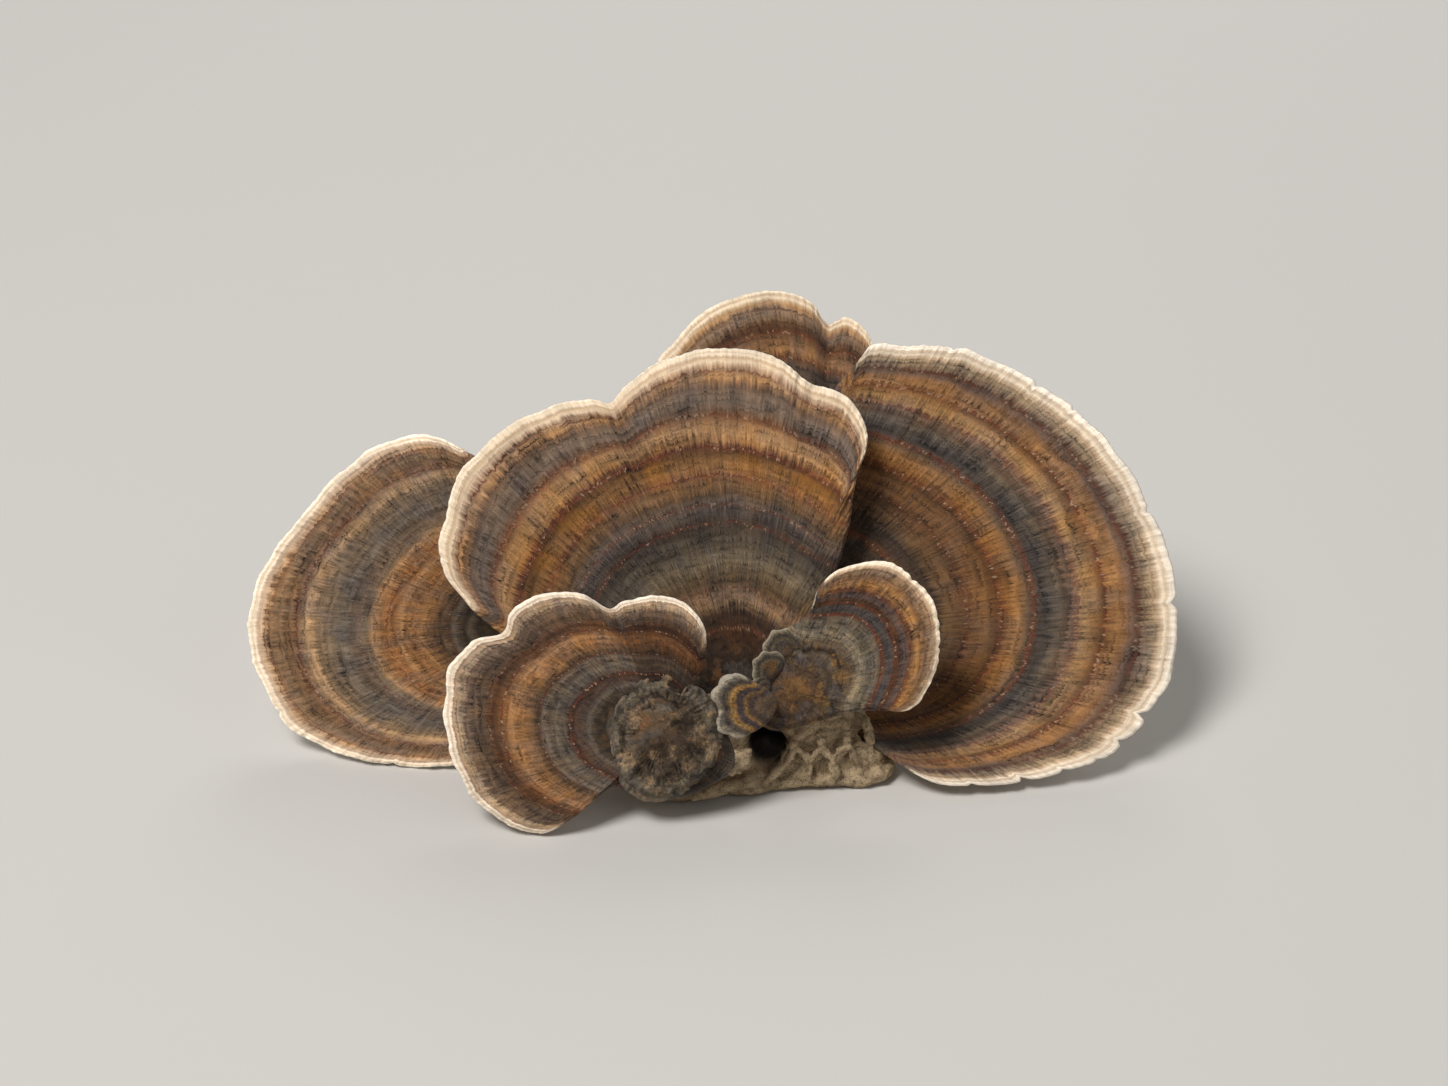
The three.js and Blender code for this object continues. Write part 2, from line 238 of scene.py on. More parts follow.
# The rings' colours from the middle (0) to the margin (1), as red, green and blue up to 255
RING_COLOURS = {
    "middle_cap": [
        (0.00, 50, 37, 27), (0.12, 47, 35, 25), (0.18, 61, 40, 26), (0.205, 78, 52, 34),
        (0.23, 60, 42, 30), (0.25, 69, 50, 40), (0.275, 122, 97, 72), (0.295, 140, 110, 86),
        (0.32, 118, 94, 74), (0.345, 92, 72, 53), (0.37, 96, 79, 59), (0.41, 115, 101, 84),
        (0.435, 103, 91, 79), (0.455, 80, 70, 59), (0.47, 88, 78, 68), (0.50, 72, 62, 54),
        (0.525, 72, 56, 47), (0.55, 77, 68, 63), (0.575, 98, 82, 74), (0.595, 96, 80, 68),
        (0.61, 99, 75, 55), (0.635, 122, 91, 62), (0.66, 122, 80, 50), (0.69, 140, 98, 55),
        (0.72, 118, 80, 40), (0.735, 104, 66, 38), (0.748, 112, 68, 46), (0.762, 152, 107, 63),
        (0.79, 172, 130, 86), (0.81, 160, 120, 84), (0.825, 128, 90, 64), (0.84, 110, 84, 68),
        (0.86, 108, 93, 84), (0.885, 120, 101, 88), (0.90, 110, 88, 74), (0.912, 128, 97, 73),
        (0.925, 168, 128, 90), (0.938, 150, 116, 90), (0.95, 190, 158, 130),
        (0.962, 226, 202, 172), (0.972, 196, 166, 132), (0.98, 236, 216, 190),
        (0.99, 222, 200, 170), (1.00, 250, 236, 216),
    ],
    "right_cap": [
        (0.00, 44, 33, 25), (0.24, 62, 48, 38), (0.30, 70, 59, 51), (0.35, 78, 66, 58),
        (0.37, 96, 64, 42), (0.39, 69, 54, 46), (0.42, 66, 52, 43), (0.445, 96, 72, 50),
        (0.48, 98, 70, 47), (0.50, 92, 63, 42), (0.52, 114, 79, 50), (0.555, 109, 76, 46),
        (0.575, 84, 55, 32), (0.59, 110, 70, 40), (0.61, 131, 90, 50), (0.635, 138, 99, 62),
        (0.655, 98, 77, 60), (0.67, 98, 64, 48), (0.68, 76, 65, 59), (0.70, 70, 63, 60),
        (0.73, 98, 85, 73), (0.745, 92, 72, 58), (0.76, 110, 88, 74), (0.775, 122, 89, 68),
        (0.79, 155, 119, 80), (0.815, 142, 104, 68), (0.83, 108, 72, 44), (0.845, 136, 96, 63),
        (0.86, 146, 106, 68), (0.875, 134, 96, 64), (0.893, 104, 82, 70), (0.907, 84, 62, 50),
        (0.92, 118, 96, 80), (0.94, 150, 130, 106), (0.955, 186, 160, 132),
        (0.965, 226, 208, 184), (0.975, 196, 172, 144), (0.983, 236, 222, 202),
        (1.00, 246, 234, 216),
    ],
    "left_cap": [
        (0.00, 47, 38, 29), (0.12, 66, 56, 42), (0.17, 49, 40, 31), (0.20, 82, 71, 59),
        (0.22, 45, 35, 25), (0.24, 72, 60, 49), (0.26, 98, 84, 72), (0.28, 64, 46, 34),
        (0.30, 93, 72, 56), (0.315, 78, 58, 40), (0.335, 111, 81, 56), (0.36, 126, 91, 60),
        (0.38, 148, 108, 70), (0.41, 138, 97, 62), (0.44, 140, 100, 64), (0.46, 159, 119, 82),
        (0.48, 134, 92, 58), (0.50, 142, 99, 64), (0.52, 130, 90, 56), (0.54, 145, 107, 74),
        (0.56, 163, 126, 93), (0.58, 117, 98, 80), (0.61, 109, 91, 78), (0.64, 97, 81, 70),
        (0.66, 109, 97, 87), (0.69, 105, 92, 81), (0.73, 117, 98, 81), (0.765, 130, 107, 84),
        (0.78, 171, 137, 105), (0.80, 161, 131, 102), (0.825, 128, 100, 81), (0.84, 126, 93, 69),
        (0.87, 116, 89, 66), (0.90, 134, 106, 81), (0.922, 140, 105, 78), (0.935, 177, 140, 107),
        (0.95, 198, 168, 140), (0.962, 190, 161, 134), (0.972, 247, 229, 204),
        (0.983, 220, 194, 163), (0.99, 253, 239, 216), (1.00, 255, 245, 225),
    ],
    "back_cap": [
        (0.00, 50, 40, 30), (0.30, 70, 56, 44), (0.40, 98, 74, 50), (0.50, 86, 70, 58),
        (0.58, 74, 62, 54), (0.63, 118, 86, 56), (0.68, 84, 72, 64), (0.73, 82, 68, 60),
        (0.755, 100, 71, 48), (0.77, 124, 87, 57), (0.785, 143, 103, 68), (0.80, 148, 109, 76),
        (0.83, 120, 87, 62), (0.845, 103, 69, 47), (0.86, 84, 55, 37), (0.88, 96, 69, 50),
        (0.895, 122, 97, 75), (0.91, 126, 103, 86), (0.93, 142, 115, 92), (0.945, 172, 132, 94),
        (0.957, 192, 163, 128), (0.968, 234, 212, 184), (0.98, 206, 180, 148),
        (0.99, 240, 220, 194), (1.00, 246, 228, 202),
    ],
    "front_left_cap": [
        (0.00, 92, 74, 57), (0.05, 98, 80, 60), (0.07, 80, 62, 45), (0.10, 104, 82, 62),
        (0.13, 88, 72, 55), (0.17, 98, 84, 69), (0.20, 110, 99, 86), (0.225, 74, 64, 54),
        (0.245, 84, 75, 64), (0.27, 42, 32, 23), (0.30, 52, 42, 33), (0.325, 70, 58, 48),
        (0.345, 95, 83, 74), (0.37, 77, 62, 53), (0.40, 78, 58, 48), (0.425, 64, 41, 28),
        (0.45, 88, 72, 62), (0.475, 88, 78, 69), (0.50, 106, 93, 80), (0.525, 85, 71, 59),
        (0.555, 114, 97, 84), (0.575, 72, 54, 41), (0.60, 102, 76, 52), (0.62, 124, 90, 60),
        (0.645, 136, 97, 63), (0.67, 144, 102, 65), (0.70, 158, 115, 77), (0.72, 142, 100, 64),
        (0.745, 112, 76, 48), (0.76, 98, 66, 42), (0.785, 83, 54, 34), (0.81, 94, 71, 52),
        (0.84, 90, 70, 56), (0.87, 106, 84, 67), (0.905, 120, 98, 80), (0.92, 166, 142, 116),
        (0.94, 180, 151, 123), (0.955, 172, 142, 114), (0.965, 240, 224, 202),
        (0.977, 206, 180, 150), (0.986, 244, 228, 208), (1.00, 250, 236, 216),
    ],
    "front_right_cap": [
        (0.00, 98, 68, 43), (0.07, 106, 76, 47), (0.12, 98, 73, 53), (0.16, 72, 54, 40),
        (0.21, 91, 74, 57), (0.25, 66, 52, 39), (0.29, 98, 84, 67), (0.33, 47, 34, 24),
        (0.36, 89, 72, 55), (0.40, 110, 91, 72), (0.43, 129, 113, 92), (0.46, 138, 123, 102),
        (0.50, 114, 103, 87), (0.53, 98, 88, 76), (0.565, 114, 100, 86), (0.595, 93, 76, 64),
        (0.61, 106, 68, 49), (0.63, 72, 64, 61), (0.67, 78, 69, 68), (0.69, 85, 57, 38),
        (0.71, 74, 50, 36), (0.73, 83, 56, 37), (0.75, 87, 72, 70), (0.78, 98, 70, 55),
        (0.80, 110, 72, 45), (0.83, 148, 105, 61), (0.85, 163, 118, 72), (0.88, 131, 95, 64),
        (0.905, 125, 99, 74), (0.93, 142, 114, 89), (0.95, 176, 146, 117), (0.965, 201, 172, 140),
        (0.975, 250, 229, 201), (1.00, 254, 237, 212),
    ],
    "bud_cap": [
        (0.00, 74, 60, 50), (0.20, 98, 80, 60), (0.30, 60, 50, 50), (0.38, 84, 64, 46),
        (0.44, 126, 94, 54), (0.50, 66, 55, 58), (0.58, 72, 60, 58), (0.64, 138, 103, 56),
        (0.70, 149, 114, 65), (0.76, 91, 76, 60), (0.83, 74, 66, 62), (0.90, 119, 110, 97),
        (0.96, 166, 155, 138), (1.00, 160, 149, 132),
    ],
    "knob": [
        (0.00, 78, 61, 45), (0.12, 90, 70, 50), (0.25, 74, 58, 43), (0.38, 94, 75, 56),
        (0.50, 76, 62, 48), (0.60, 98, 83, 66), (0.68, 72, 60, 48), (0.76, 96, 85, 71),
        (0.84, 112, 102, 88), (0.90, 84, 74, 62), (0.96, 104, 95, 82), (1.00, 92, 84, 72),
    ],
    "young_cap": [
        (0.00, 96, 72, 50), (0.3, 84, 66, 48), (0.45, 66, 56, 48), (0.60, 92, 80, 64),
        (0.74, 66, 58, 50), (0.86, 104, 94, 80), (0.94, 140, 128, 110), (1.00, 160, 146, 124),
    ],
}

# The ring out to which each bracket's old growth has gone patchy
MOTTLED = {"knob": 1.2, "front_right_cap": 0.42, "bud_cap": 0.3, "young_cap": 0.6,
           "front_left_cap": 0.3}
USUAL_MOTTLED = 0.15
# The two colours of those patches
PATCHES = {
    "knob": ((138, 114, 88), (50, 40, 31)),
    "front_right_cap": ((134, 97, 54), (88, 78, 74)),
}
USUAL_PATCHES = ((112, 78, 46), (84, 76, 72))

# Darker sectors, as (bracket, angles where it begins and ends, how dark)
DARK_SECTORS = {"front_left_cap": (40, 118, 1.0)}

# The thin broken lines on each bracket: (ring, width, how strong)
BROKEN_LINES = {
    "middle_cap": [(0.205, 0.006, 0.7), (0.325, 0.004, 0.8), (0.52, 0.004, 0.7),
                   (0.575, 0.004, 0.8), (0.662, 0.004, 0.8), (0.742, 0.0045, 1.0),
                   (0.83, 0.005, 0.7), (0.936, 0.005, 0.7)],
    "right_cap": [(0.37, 0.004, 0.9), (0.50, 0.004, 0.8), (0.585, 0.004, 0.9),
                  (0.668, 0.004, 0.9), (0.77, 0.004, 0.6), (0.836, 0.004, 1.0),
                  (0.905, 0.005, 0.6), (0.945, 0.004, 0.4)],
    "left_cap": [(0.285, 0.005, 0.6), (0.40, 0.005, 0.7), (0.505, 0.005, 0.9),
                 (0.605, 0.004, 0.5), (0.828, 0.005, 0.9), (0.925, 0.005, 0.5)],
    "back_cap": [(0.76, 0.005, 0.7), (0.85, 0.005, 0.7), (0.925, 0.005, 0.5)],
    "front_left_cap": [(0.43, 0.007, 1.0), (0.575, 0.006, 0.6), (0.745, 0.006, 1.0),
                       (0.80, 0.006, 0.5), (0.905, 0.006, 0.5), (0.955, 0.005, 0.5)],
    "front_right_cap": [(0.605, 0.01, 0.9), (0.70, 0.009, 0.9), (0.79, 0.008, 0.7),
                        (0.90, 0.007, 0.5), (0.94, 0.006, 0.6)],
}


# ---------------------------------------------------------------- shape of the brackets


def smooth_step(low, high, value):
    """0 before low, 1 past high, and a smooth change between them; high may be the lower one."""
    share = np.clip((value - low) / (high - low), 0, 1)
    return share * share * (3 - 2 * share)


def ripple(along, ring, low, high, seed, drift=2.0):
    """Random waves round a closed line, low to high of them a round, about -1 to 1."""
    draw = np.random.default_rng(seed)
    total = np.zeros(np.broadcast(along, ring).shape)
    for _ in range(WAVES):
        waves = draw.integers(low, high + 1)
        start = draw.uniform(0, 2 * math.pi)
        total += np.cos(2 * math.pi * waves * along + start + drift * draw.normal() * ring)
    return total / math.sqrt(2 * WAVES)


def field(points, low, high, seed):
    """Random soft waves through space, with wavelengths low to high mm, about -1 to 1."""
    draw = np.random.default_rng(seed)
    total = np.zeros(len(points))
    for _ in range(WAVES):
        way = draw.normal(size=3)
        way *= 2 * math.pi / draw.uniform(low, high) / np.linalg.norm(way)
        total += np.cos(points @ way + draw.uniform(0, 2 * math.pi))
    return total / math.sqrt(WAVES / 2)


def closed_line(points, steps):
    """A smooth closed line through (angle, reach, rise) points, cut into even steps."""
    rows = [tuple(p) + (0,) * (3 - len(p)) for p in points]
    angle, reach, rise = np.array(rows, float).T
    angle = np.radians(angle)
    corners = np.stack([reach * np.cos(angle), reach * np.sin(angle), rise], axis=1)
    p0, p1 = np.roll(corners, 1, axis=0), corners
    p2, p3 = np.roll(corners, -1, axis=0), np.roll(corners, -2, axis=0)
    t = np.linspace(0, 1, CURVE_CUTS, endpoint=False)[None, :, None]
    p0, p1, p2, p3 = (p[:, None, :] for p in (p0, p1, p2, p3))
    bend = (2 * p1 + (p2 - p0) * t + (2 * p0 - 5 * p1 + 4 * p2 - p3) * t**2
            + (3 * p1 - p0 - 3 * p2 + p3) * t**3) / 2
    fine = bend.reshape(-1, 3)
    fine = np.vstack([fine, fine[:1]])
    run = np.concatenate([[0], np.cumsum(np.linalg.norm(np.diff(fine, axis=0), axis=1))])
    stops = np.linspace(0, run[-1], steps, endpoint=False)
    line = np.stack([np.interp(stops, run, fine[:, k]) for k in range(3)], axis=1)
    return line, run[-1]


def ring_shares(count):
    """From the middle to the margin, closer together near the margin."""
    return 1 - (1 - np.linspace(0, 1, count + 1)) ** 1.3


def growth_reach(bracket, line):
    """The reach of the even fan that the inner rings follow, for each point of the margin."""
    begin, end = bracket["arc"]
    here = (np.degrees(np.arctan2(line[:, 1], line[:, 0])) - begin) % 360
    span = end - begin
    free = here <= span
    reach = np.hypot(line[:, 0], line[:, 1])
    soft = bracket.get("soft", EVEN_OUT)
    where = np.clip(here, 0, span)
    where = np.where(here > (span + 360) / 2, 0, where)
    apart = where[:, None] - here[free][None, :]
    weight = np.exp(-((apart / soft) ** 2))
    even = (weight * reach[free]).sum(axis=1) / weight.sum(axis=1)
    beyond = np.where(free, 0, np.minimum(here - span, 360 - here))
    past = smooth_step(0, SIDE_FADE, beyond)
    return even * (1 - past) + bracket["full_reach"] * past


def side_distance(bracket, line, angle, ring, reach):
    """How far a point lies to the side of the ray at an angle, mm."""
    here = np.arctan2(line[:, 1], line[:, 0])
    off = (here - math.radians(angle) + math.pi) % (2 * math.pi) - math.pi
    return np.abs(off) * ring * reach


def seed_of(name):
    """A number of its own for each bracket, the same on each run."""
    return 10 * sum(ord(letter) * (place + 1) for place, letter in enumerate(name))


def bracket_layers(name, bracket, ring, sizes):
    """Upper and lower surface of a bracket: x, y, z grids of rings by steps, mm."""
    line, length = closed_line(bracket["margin"], bracket["steps"])
    along = np.arange(bracket["steps"])[None, :] / bracket["steps"]
    reach = np.hypot(line[:, 0], line[:, 1])[None, :]
    ring = ring[:, None]
    seed = seed_of(name)
    full = bracket["full_reach"]
    small = min(1.0, full / SMALL_CAP)
    free = smooth_step(FREE_SIDE[0] * full, FREE_SIDE[1] * full, reach)  # 0 beside the base

    def waves(kind, across):
        """One kind of ripple along the margin, the same on each run."""
        short, long, step, drift = RIPPLES[kind]
        return ripple(along, across, length / long, length / short, seed + step, drift)

    # the margin's scallops and nicks, which only reach a little way in
    pushed = sizes.scallop * waves("scallop", 0 * ring) + sizes.crimp * waves("crimp", 0 * ring)
    for angle, depth, width in bracket["nicks"]:
        apart = side_distance(bracket, line, angle, 1, reach)
        pushed = pushed - depth * np.exp(-((apart / width) ** 1.5))
    if "lobes" in bracket:
        first, last, depth, count = bracket["lobes"]
        angle = np.degrees(np.arctan2(line[:, 1], line[:, 0])) % 360
        share = np.clip((angle - first) / (last - first), 0, 1)[None, :]
        pushed = pushed * free + depth * np.abs(np.sin(math.pi * count * share)) / small
        free_margin = 1
    else:
        free_margin = free
    out = ring * reach + small * free_margin * pushed * ring**MARGIN_ONLY
    x = out * line[:, 0] / reach
    y = out * line[:, 1] / reach

    # the middle layer, as the CAD model has it
    rolled = np.clip((ring - MARGIN_START) / (1 - MARGIN_START), 0, None) ** 2
    roll = np.minimum(MARGIN_ROLL, reach / 20)
    swell = bracket.get("boss", 0) * np.exp(
        -((ring * reach / bracket.get("boss_reach", 1)) ** 2))
    layer = (line[:, 2] + roll) * ring**DISH - roll * rolled + swell

    # slow waves, radial folds, growth steps and creases
    layer = layer + small * free * sizes.wave * ring**4 * waves("wave", ring)
    layer = layer + small * free * sizes.fold * ring**2 * waves("fold", ring)
    steps = ripple(ring + 0.006 * ripple(along, ring, 3, 12, seed + 5), 0, 12, 34, seed + 6)
    layer = layer + small * sizes.growth_step * smooth_step(0.12, 0.3, ring) * steps
    layer = layer + small * free * sizes.margin_fold * ring**PLEATS_ONLY * waves("pleat", ring)
    if "matted" in bracket:
        spot = np.stack([x, y, 0 * x], axis=-1).reshape(-1, 3)
        clumps = ripple(along, ring, 20, 60, seed + 8, 6) * field(
            spot, 1.5, 4, seed + 9).reshape(x.shape)
        lumps = np.maximum(field(spot, 1.9, 3.8, seed + 10).reshape(x.shape), -0.5)
        layer = layer + bracket["matted"] * smooth_step(0.2, 0.6, ring) * clumps
        layer = layer + bracket["lumps"] * lumps * (1 - 0.6 * ring**2)
        layer = layer + 0.07 * field(spot, 0.7, 1.5, seed + 11).reshape(x.shape)
    for angle, depth, width, start in bracket["creases"]:
        apart = side_distance(bracket, line, angle, ring, reach)
        begin = smooth_step(start, 1.0, ring)
        layer = layer - depth * begin * np.exp(-((apart / width) ** 1.6))

    # thickness, rounded at the margin
    edge = bracket.get("edge", EDGE_THICKNESS)
    neck = bracket.get("neck", NECK_THICKNESS)
    half = (edge + (neck - edge) * (1 - ring) ** 1.5) / 2
    inside = np.clip((1 - ring) * reach / (0.7 * edge), 0, 1)
    half = half * np.sqrt(1 - (1 - inside) ** 2)
    return x, y, layer + half, layer - half, along, ring, reach


def ring_position(ring, reach, growth):
    """Where a point lies among the colour rings, which follow the margin only close to it."""
    ratio = reach / growth
    free = smooth_step(0.8, 0.92, ratio)
    near = smooth_step(0.7, 0.985, ring) * free
    return ring * ratio ** (1 - near)


def placed(bracket, points):
    """Points in a fan's own plane, mm, turned to the row frame, metres."""
    turned = Euler((math.radians(bracket["tilt"]), 0, 0)).to_matrix()
    turned = Euler((0, 0, math.radians(bracket["turn"]))).to_matrix() @ turned
    return (points @ np.array(turned).T + np.array(bracket["middle"])) * MM


def grid_faces(rows, steps, first, pole, outward):
    """Quads between rows of points, and a fan to the pole; first is the first row's start."""
    row, col = np.meshgrid(np.arange(rows - 1), np.arange(steps), indexing="ij")
    nxt = (col + 1) % steps
    a = first + row * steps + col
    b = first + row * steps + nxt
    c, d = b + steps, a + steps
    quads = np.stack([a, d, c, b] if outward else [a, b, c, d], axis=-1).reshape(-1, 4)
    ring = np.arange(steps)
    ends = [np.full(steps, pole), first + ring, first + (ring + 1) % steps]
    fan = np.stack(ends if outward else ends[::-1], axis=-1)
    return fan.tolist(), quads.tolist()


def bracket_mesh(name, bracket, sizes):
    """The closed fine mesh of a bracket, with the attributes that its material reads."""
    steps = bracket["steps"]
    over, under = bracket["rings"]
    margin_line = closed_line(bracket["margin"], steps)[0]
    growth = growth_reach(bracket, margin_line)[None, :]
    corners, rings, shades, whereabouts, sides = [], [], [], [], []
    faces = []
    for upper, count in ((True, over), (False, under)):
        shares = ring_shares(count)[1:]
        if not upper:
            shares = shares[:-1]  # the margin itself belongs to the upper side
        x, y, top, low, along, ring, reach = bracket_layers(name, bracket, shares, sizes)
        z = top if upper else low
        start = sum(len(c) for c in corners)
        points = np.stack([x, y, z], axis=-1).reshape(-1, 3)
        pole = np.array([[0, 0, z[0].mean()]])
        corners += [points, pole]
        rows = len(shares)
        fan, quads = grid_faces(rows, steps, start, start + rows * steps, upper)
        faces += fan + quads
        position = ring_position(ring, reach, growth)
        rings += [position.reshape(-1), [0.0]]
        # painted shade along the groove of each crease, kept with the darker sector in the shade
        # attribute
        crease_shade = 0 * position
        for angle, depth, width, begin in bracket["creases"]:
            apart = side_distance(bracket, margin_line, angle, ring, reach)
            core = np.exp(-((apart / (0.42 * width)) ** 2)) * smooth_step(begin, 0.9, ring)
            crease_shade = np.maximum(crease_shade, min(0.8, 0.45 * depth) * core)
        shades += [darkness(name, x, y, position, crease_shade).reshape(-1), [0.0]]
        turn = np.arctan2(y, x).reshape(-1)
        compass = np.stack([np.cos(turn), np.sin(turn), 0 * turn], axis=1)
        whereabouts += [compass, [[0, 0, 0]]]
        level = 1.0 if upper else -1.0
        side = np.full(rows * steps, level)
        if upper:
            side[-steps:] = 0
        sides += [side, [level]]
        if upper:
            last_upper = start + (rows - 1) * steps
        else:
            last_lower = start + (rows - 1) * steps
    ring = np.arange(steps)
    nxt = (ring + 1) % steps
    joint = np.stack([last_upper + ring, last_lower + ring, last_lower + nxt,
                      last_upper + nxt], axis=-1)
    faces += joint.tolist()
    flat = np.vstack(corners)
    mesh = bpy.data.meshes.new(name + "_fine")
    mesh.from_pydata(placed(bracket, flat).tolist(), [], faces)
    mesh.polygons.foreach_set("use_smooth", [True] * len(mesh.polygons))
    add_attribute(mesh, "ring", "FLOAT", np.concatenate(rings))
    add_attribute(mesh, "shade", "FLOAT", np.concatenate(shades))
    add_attribute(mesh, "side", "FLOAT", np.concatenate(sides))
    add_attribute(mesh, "compass", "FLOAT_VECTOR", np.vstack(whereabouts))
    add_flat_map(mesh, flat)
    mesh.update()
    return mesh


def darkness(name, x, y, position, crease_shade):
    """0 to 1: the painted shade along the creases, and how much darker the older sector of a
    bracket is coloured.
    """
    if name not in DARK_SECTORS:
        return crease_shade
    begin, end, depth = DARK_SECTORS[name]
    angle = np.degrees(np.arctan2(y, x))
    inside = smooth_step(begin - 12, begin, angle) * smooth_step(end + 2, end - 2, angle)
    older = smooth_step(0.86, 0.76, position) * smooth_step(0.2, 0.36, position)
    return np.maximum(crease_shade, depth * inside * older)


def add_attribute(mesh, name, kind, values):
    """A value or a vector on each vertex."""
    field = "value" if kind == "FLOAT" else "vector"
    made = mesh.attributes.new(name, kind, "POINT")
    made.data.foreach_set(field, np.asarray(values, np.float32).ravel())


def add_flat_map(mesh, flat):
    """A UV map seen straight on: the upper side in one half, the lower side in the other."""
    low, high = flat.min(axis=0), flat.max(axis=0)
    size = max((high - low)[:2])
    corner = np.empty(len(mesh.loops), int)
    mesh.loops.foreach_get("vertex_index", corner)
    side = np.empty(len(mesh.vertices), np.float32)
    mesh.attributes["side"].data.foreach_get("value", side)
    begin = np.empty(len(mesh.polygons), int)
    total = np.empty(len(mesh.polygons), int)
    mesh.polygons.foreach_get("loop_start", begin)
    mesh.polygons.foreach_get("loop_total", total)
    below = np.add.reduceat(side[corner], begin) < 0
    below = np.repeat(below, total)
    uv = 0.01 + 0.48 * (flat[corner, :2] - low[:2]) / size
    uv[:, 0] += np.where(below, 0.5, 0.0)
    layer = mesh.uv_layers.new(name="OFBake")
    layer.data.foreach_set("uv", uv.astype(np.float32).ravel())


def new_piece(name, mesh, node, material):
    """A piece that rides on the one body and stands for its CAD node."""
    piece = bpy.data.objects.new(name, mesh)
    bpy.context.scene.collection.objects.link(piece)
    mesh.materials.append(material)
    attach(piece, BODY)
    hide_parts(node)
    return piece


def check_follows(piece, node):
    """Stops the script where a fine piece left its CAD node's box."""
    corners = np.array([v.co for v in piece.data.vertices])
    low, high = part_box(node)
    worst = max(np.abs(corners.min(axis=0) - low).max(), np.abs(corners.max(axis=0) - high).max())
    print("%s differs from its CAD box by %.2f mm" % (piece.name, worst / MM))
    if worst > FOLLOWS_CAD:
        raise RuntimeError("%s leaves its CAD node by %.2f mm" % (piece.name, worst / MM))


# ---------------------------------------------------------------- materials


def linear(red, green, blue):
    """A colour of 0 to 255 a channel as the linear RGBA that nodes take."""
    shares = (red / 255, green / 255, blue / 255)
    return tuple(((s + 0.055) / 1.055) ** 2.4 if s > 0.04 else s / 12.92 for s in shares) + (1,)


def add_node(tree, kind, inputs=None, **settings):
    """A node with its settings made, and its inputs set, or linked where the value is a socket."""
    made = tree.nodes.new("ShaderNode" + kind)
    for name, value in settings.items():
        setattr(made, name, value)
    for name, value in (inputs or {}).items():
        socket = made.inputs[name]
        if isinstance(value, bpy.types.NodeSocket):
            tree.links.new(value, socket)
        else:
            socket.default_value = value
    return made


def calc(tree, operation, a, b=0.0):
    """The result of one Math node."""
    return add_node(tree, "Math", {0: a, 1: b}, operation=operation).outputs[0]


def product(tree, a, b):
    """Two values multiplied."""
    return calc(tree, "MULTIPLY", a, b)


def weighted(tree, total, *parts):
    """A total plus each value times its weight."""
    for value, weight in parts:
        total = add_node(tree, "Math", {0: value, 1: weight, 2: total},
                         operation="MULTIPLY_ADD").outputs[0]
    return total


def swing(tree, value, reach):
    """A value from 0 to 1, turned to swing either side of 0 by half the reach."""
    return product(tree, calc(tree, "SUBTRACT", value, 0.5), reach)


def along_z(tree, value):
    """A vector whose Z is a value."""
    return add_node(tree, "CombineXYZ", {"Z": value}).outputs[0]


def moved_by(tree, a, b):
    """Two vectors added."""
    return add_node(tree, "VectorMath", {0: a, 1: b}).outputs[0]


def spread(tree, vector, scale):
    """A vector times one value."""
    return add_node(tree, "VectorMath", {0: vector, "Scale": scale},
                    operation="SCALE").outputs[0]


def ramp_step(tree, low, high, value):
    """0 to 1 as a value goes from low to high, smoothly. high may be the lower number."""
    made = add_node(tree, "MapRange", {"Value": value, "From Min": low, "From Max": high},
                    interpolation_type="SMOOTHSTEP")
    return made.outputs["Result"]


def mix_colour(tree, share, a, b, blend="MIX"):
    """Colour a turned to b by a share."""
    made = add_node(tree, "Mix", data_type="RGBA", blend_type=blend)
    for index, value in ((0, share), (6, a), (7, b)):
        if isinstance(value, bpy.types.NodeSocket):
            tree.links.new(value, made.inputs[index])
        else:
            made.inputs[index].default_value = value
    return made.outputs[2]


def scaled(tree, vector, scale):
    """A vector times a scale along each axis."""
    return add_node(tree, "VectorMath", {0: vector, 1: scale}, operation="MULTIPLY").outputs[0]


def noise(tree, vector, scale, detail=2.0, roughness=0.5):
    """Soft noise, 0 to 1."""
    made = add_node(tree, "TexNoise", {"Vector": vector, "Scale": scale, "Detail": detail,
                                       "Roughness": roughness})
    return made.outputs[0]


def new_group(name, inputs, outputs):
    """An empty shader node group with named sockets: its tree, input node and output node."""
    tree = bpy.data.node_groups.new(name, "ShaderNodeTree")
    kinds = {"value": "NodeSocketFloat", "colour": "NodeSocketColor", "vector": "NodeSocketVector"}
    for title, kind, default in inputs:
        socket = tree.interface.new_socket(title, in_out="INPUT", socket_type=kinds[kind])
        if default is not None:
            socket.default_value = default
    for title, kind in outputs:
        tree.interface.new_socket(title, in_out="OUTPUT", socket_type=kinds[kind])
    return tree, tree.nodes.new("NodeGroupInput"), tree.nodes.new("NodeGroupOutput")


def use_group(tree, group, inputs):
    """A group placed in a tree, with its inputs set or linked."""
    return add_node(tree, "Group", inputs, node_tree=group)


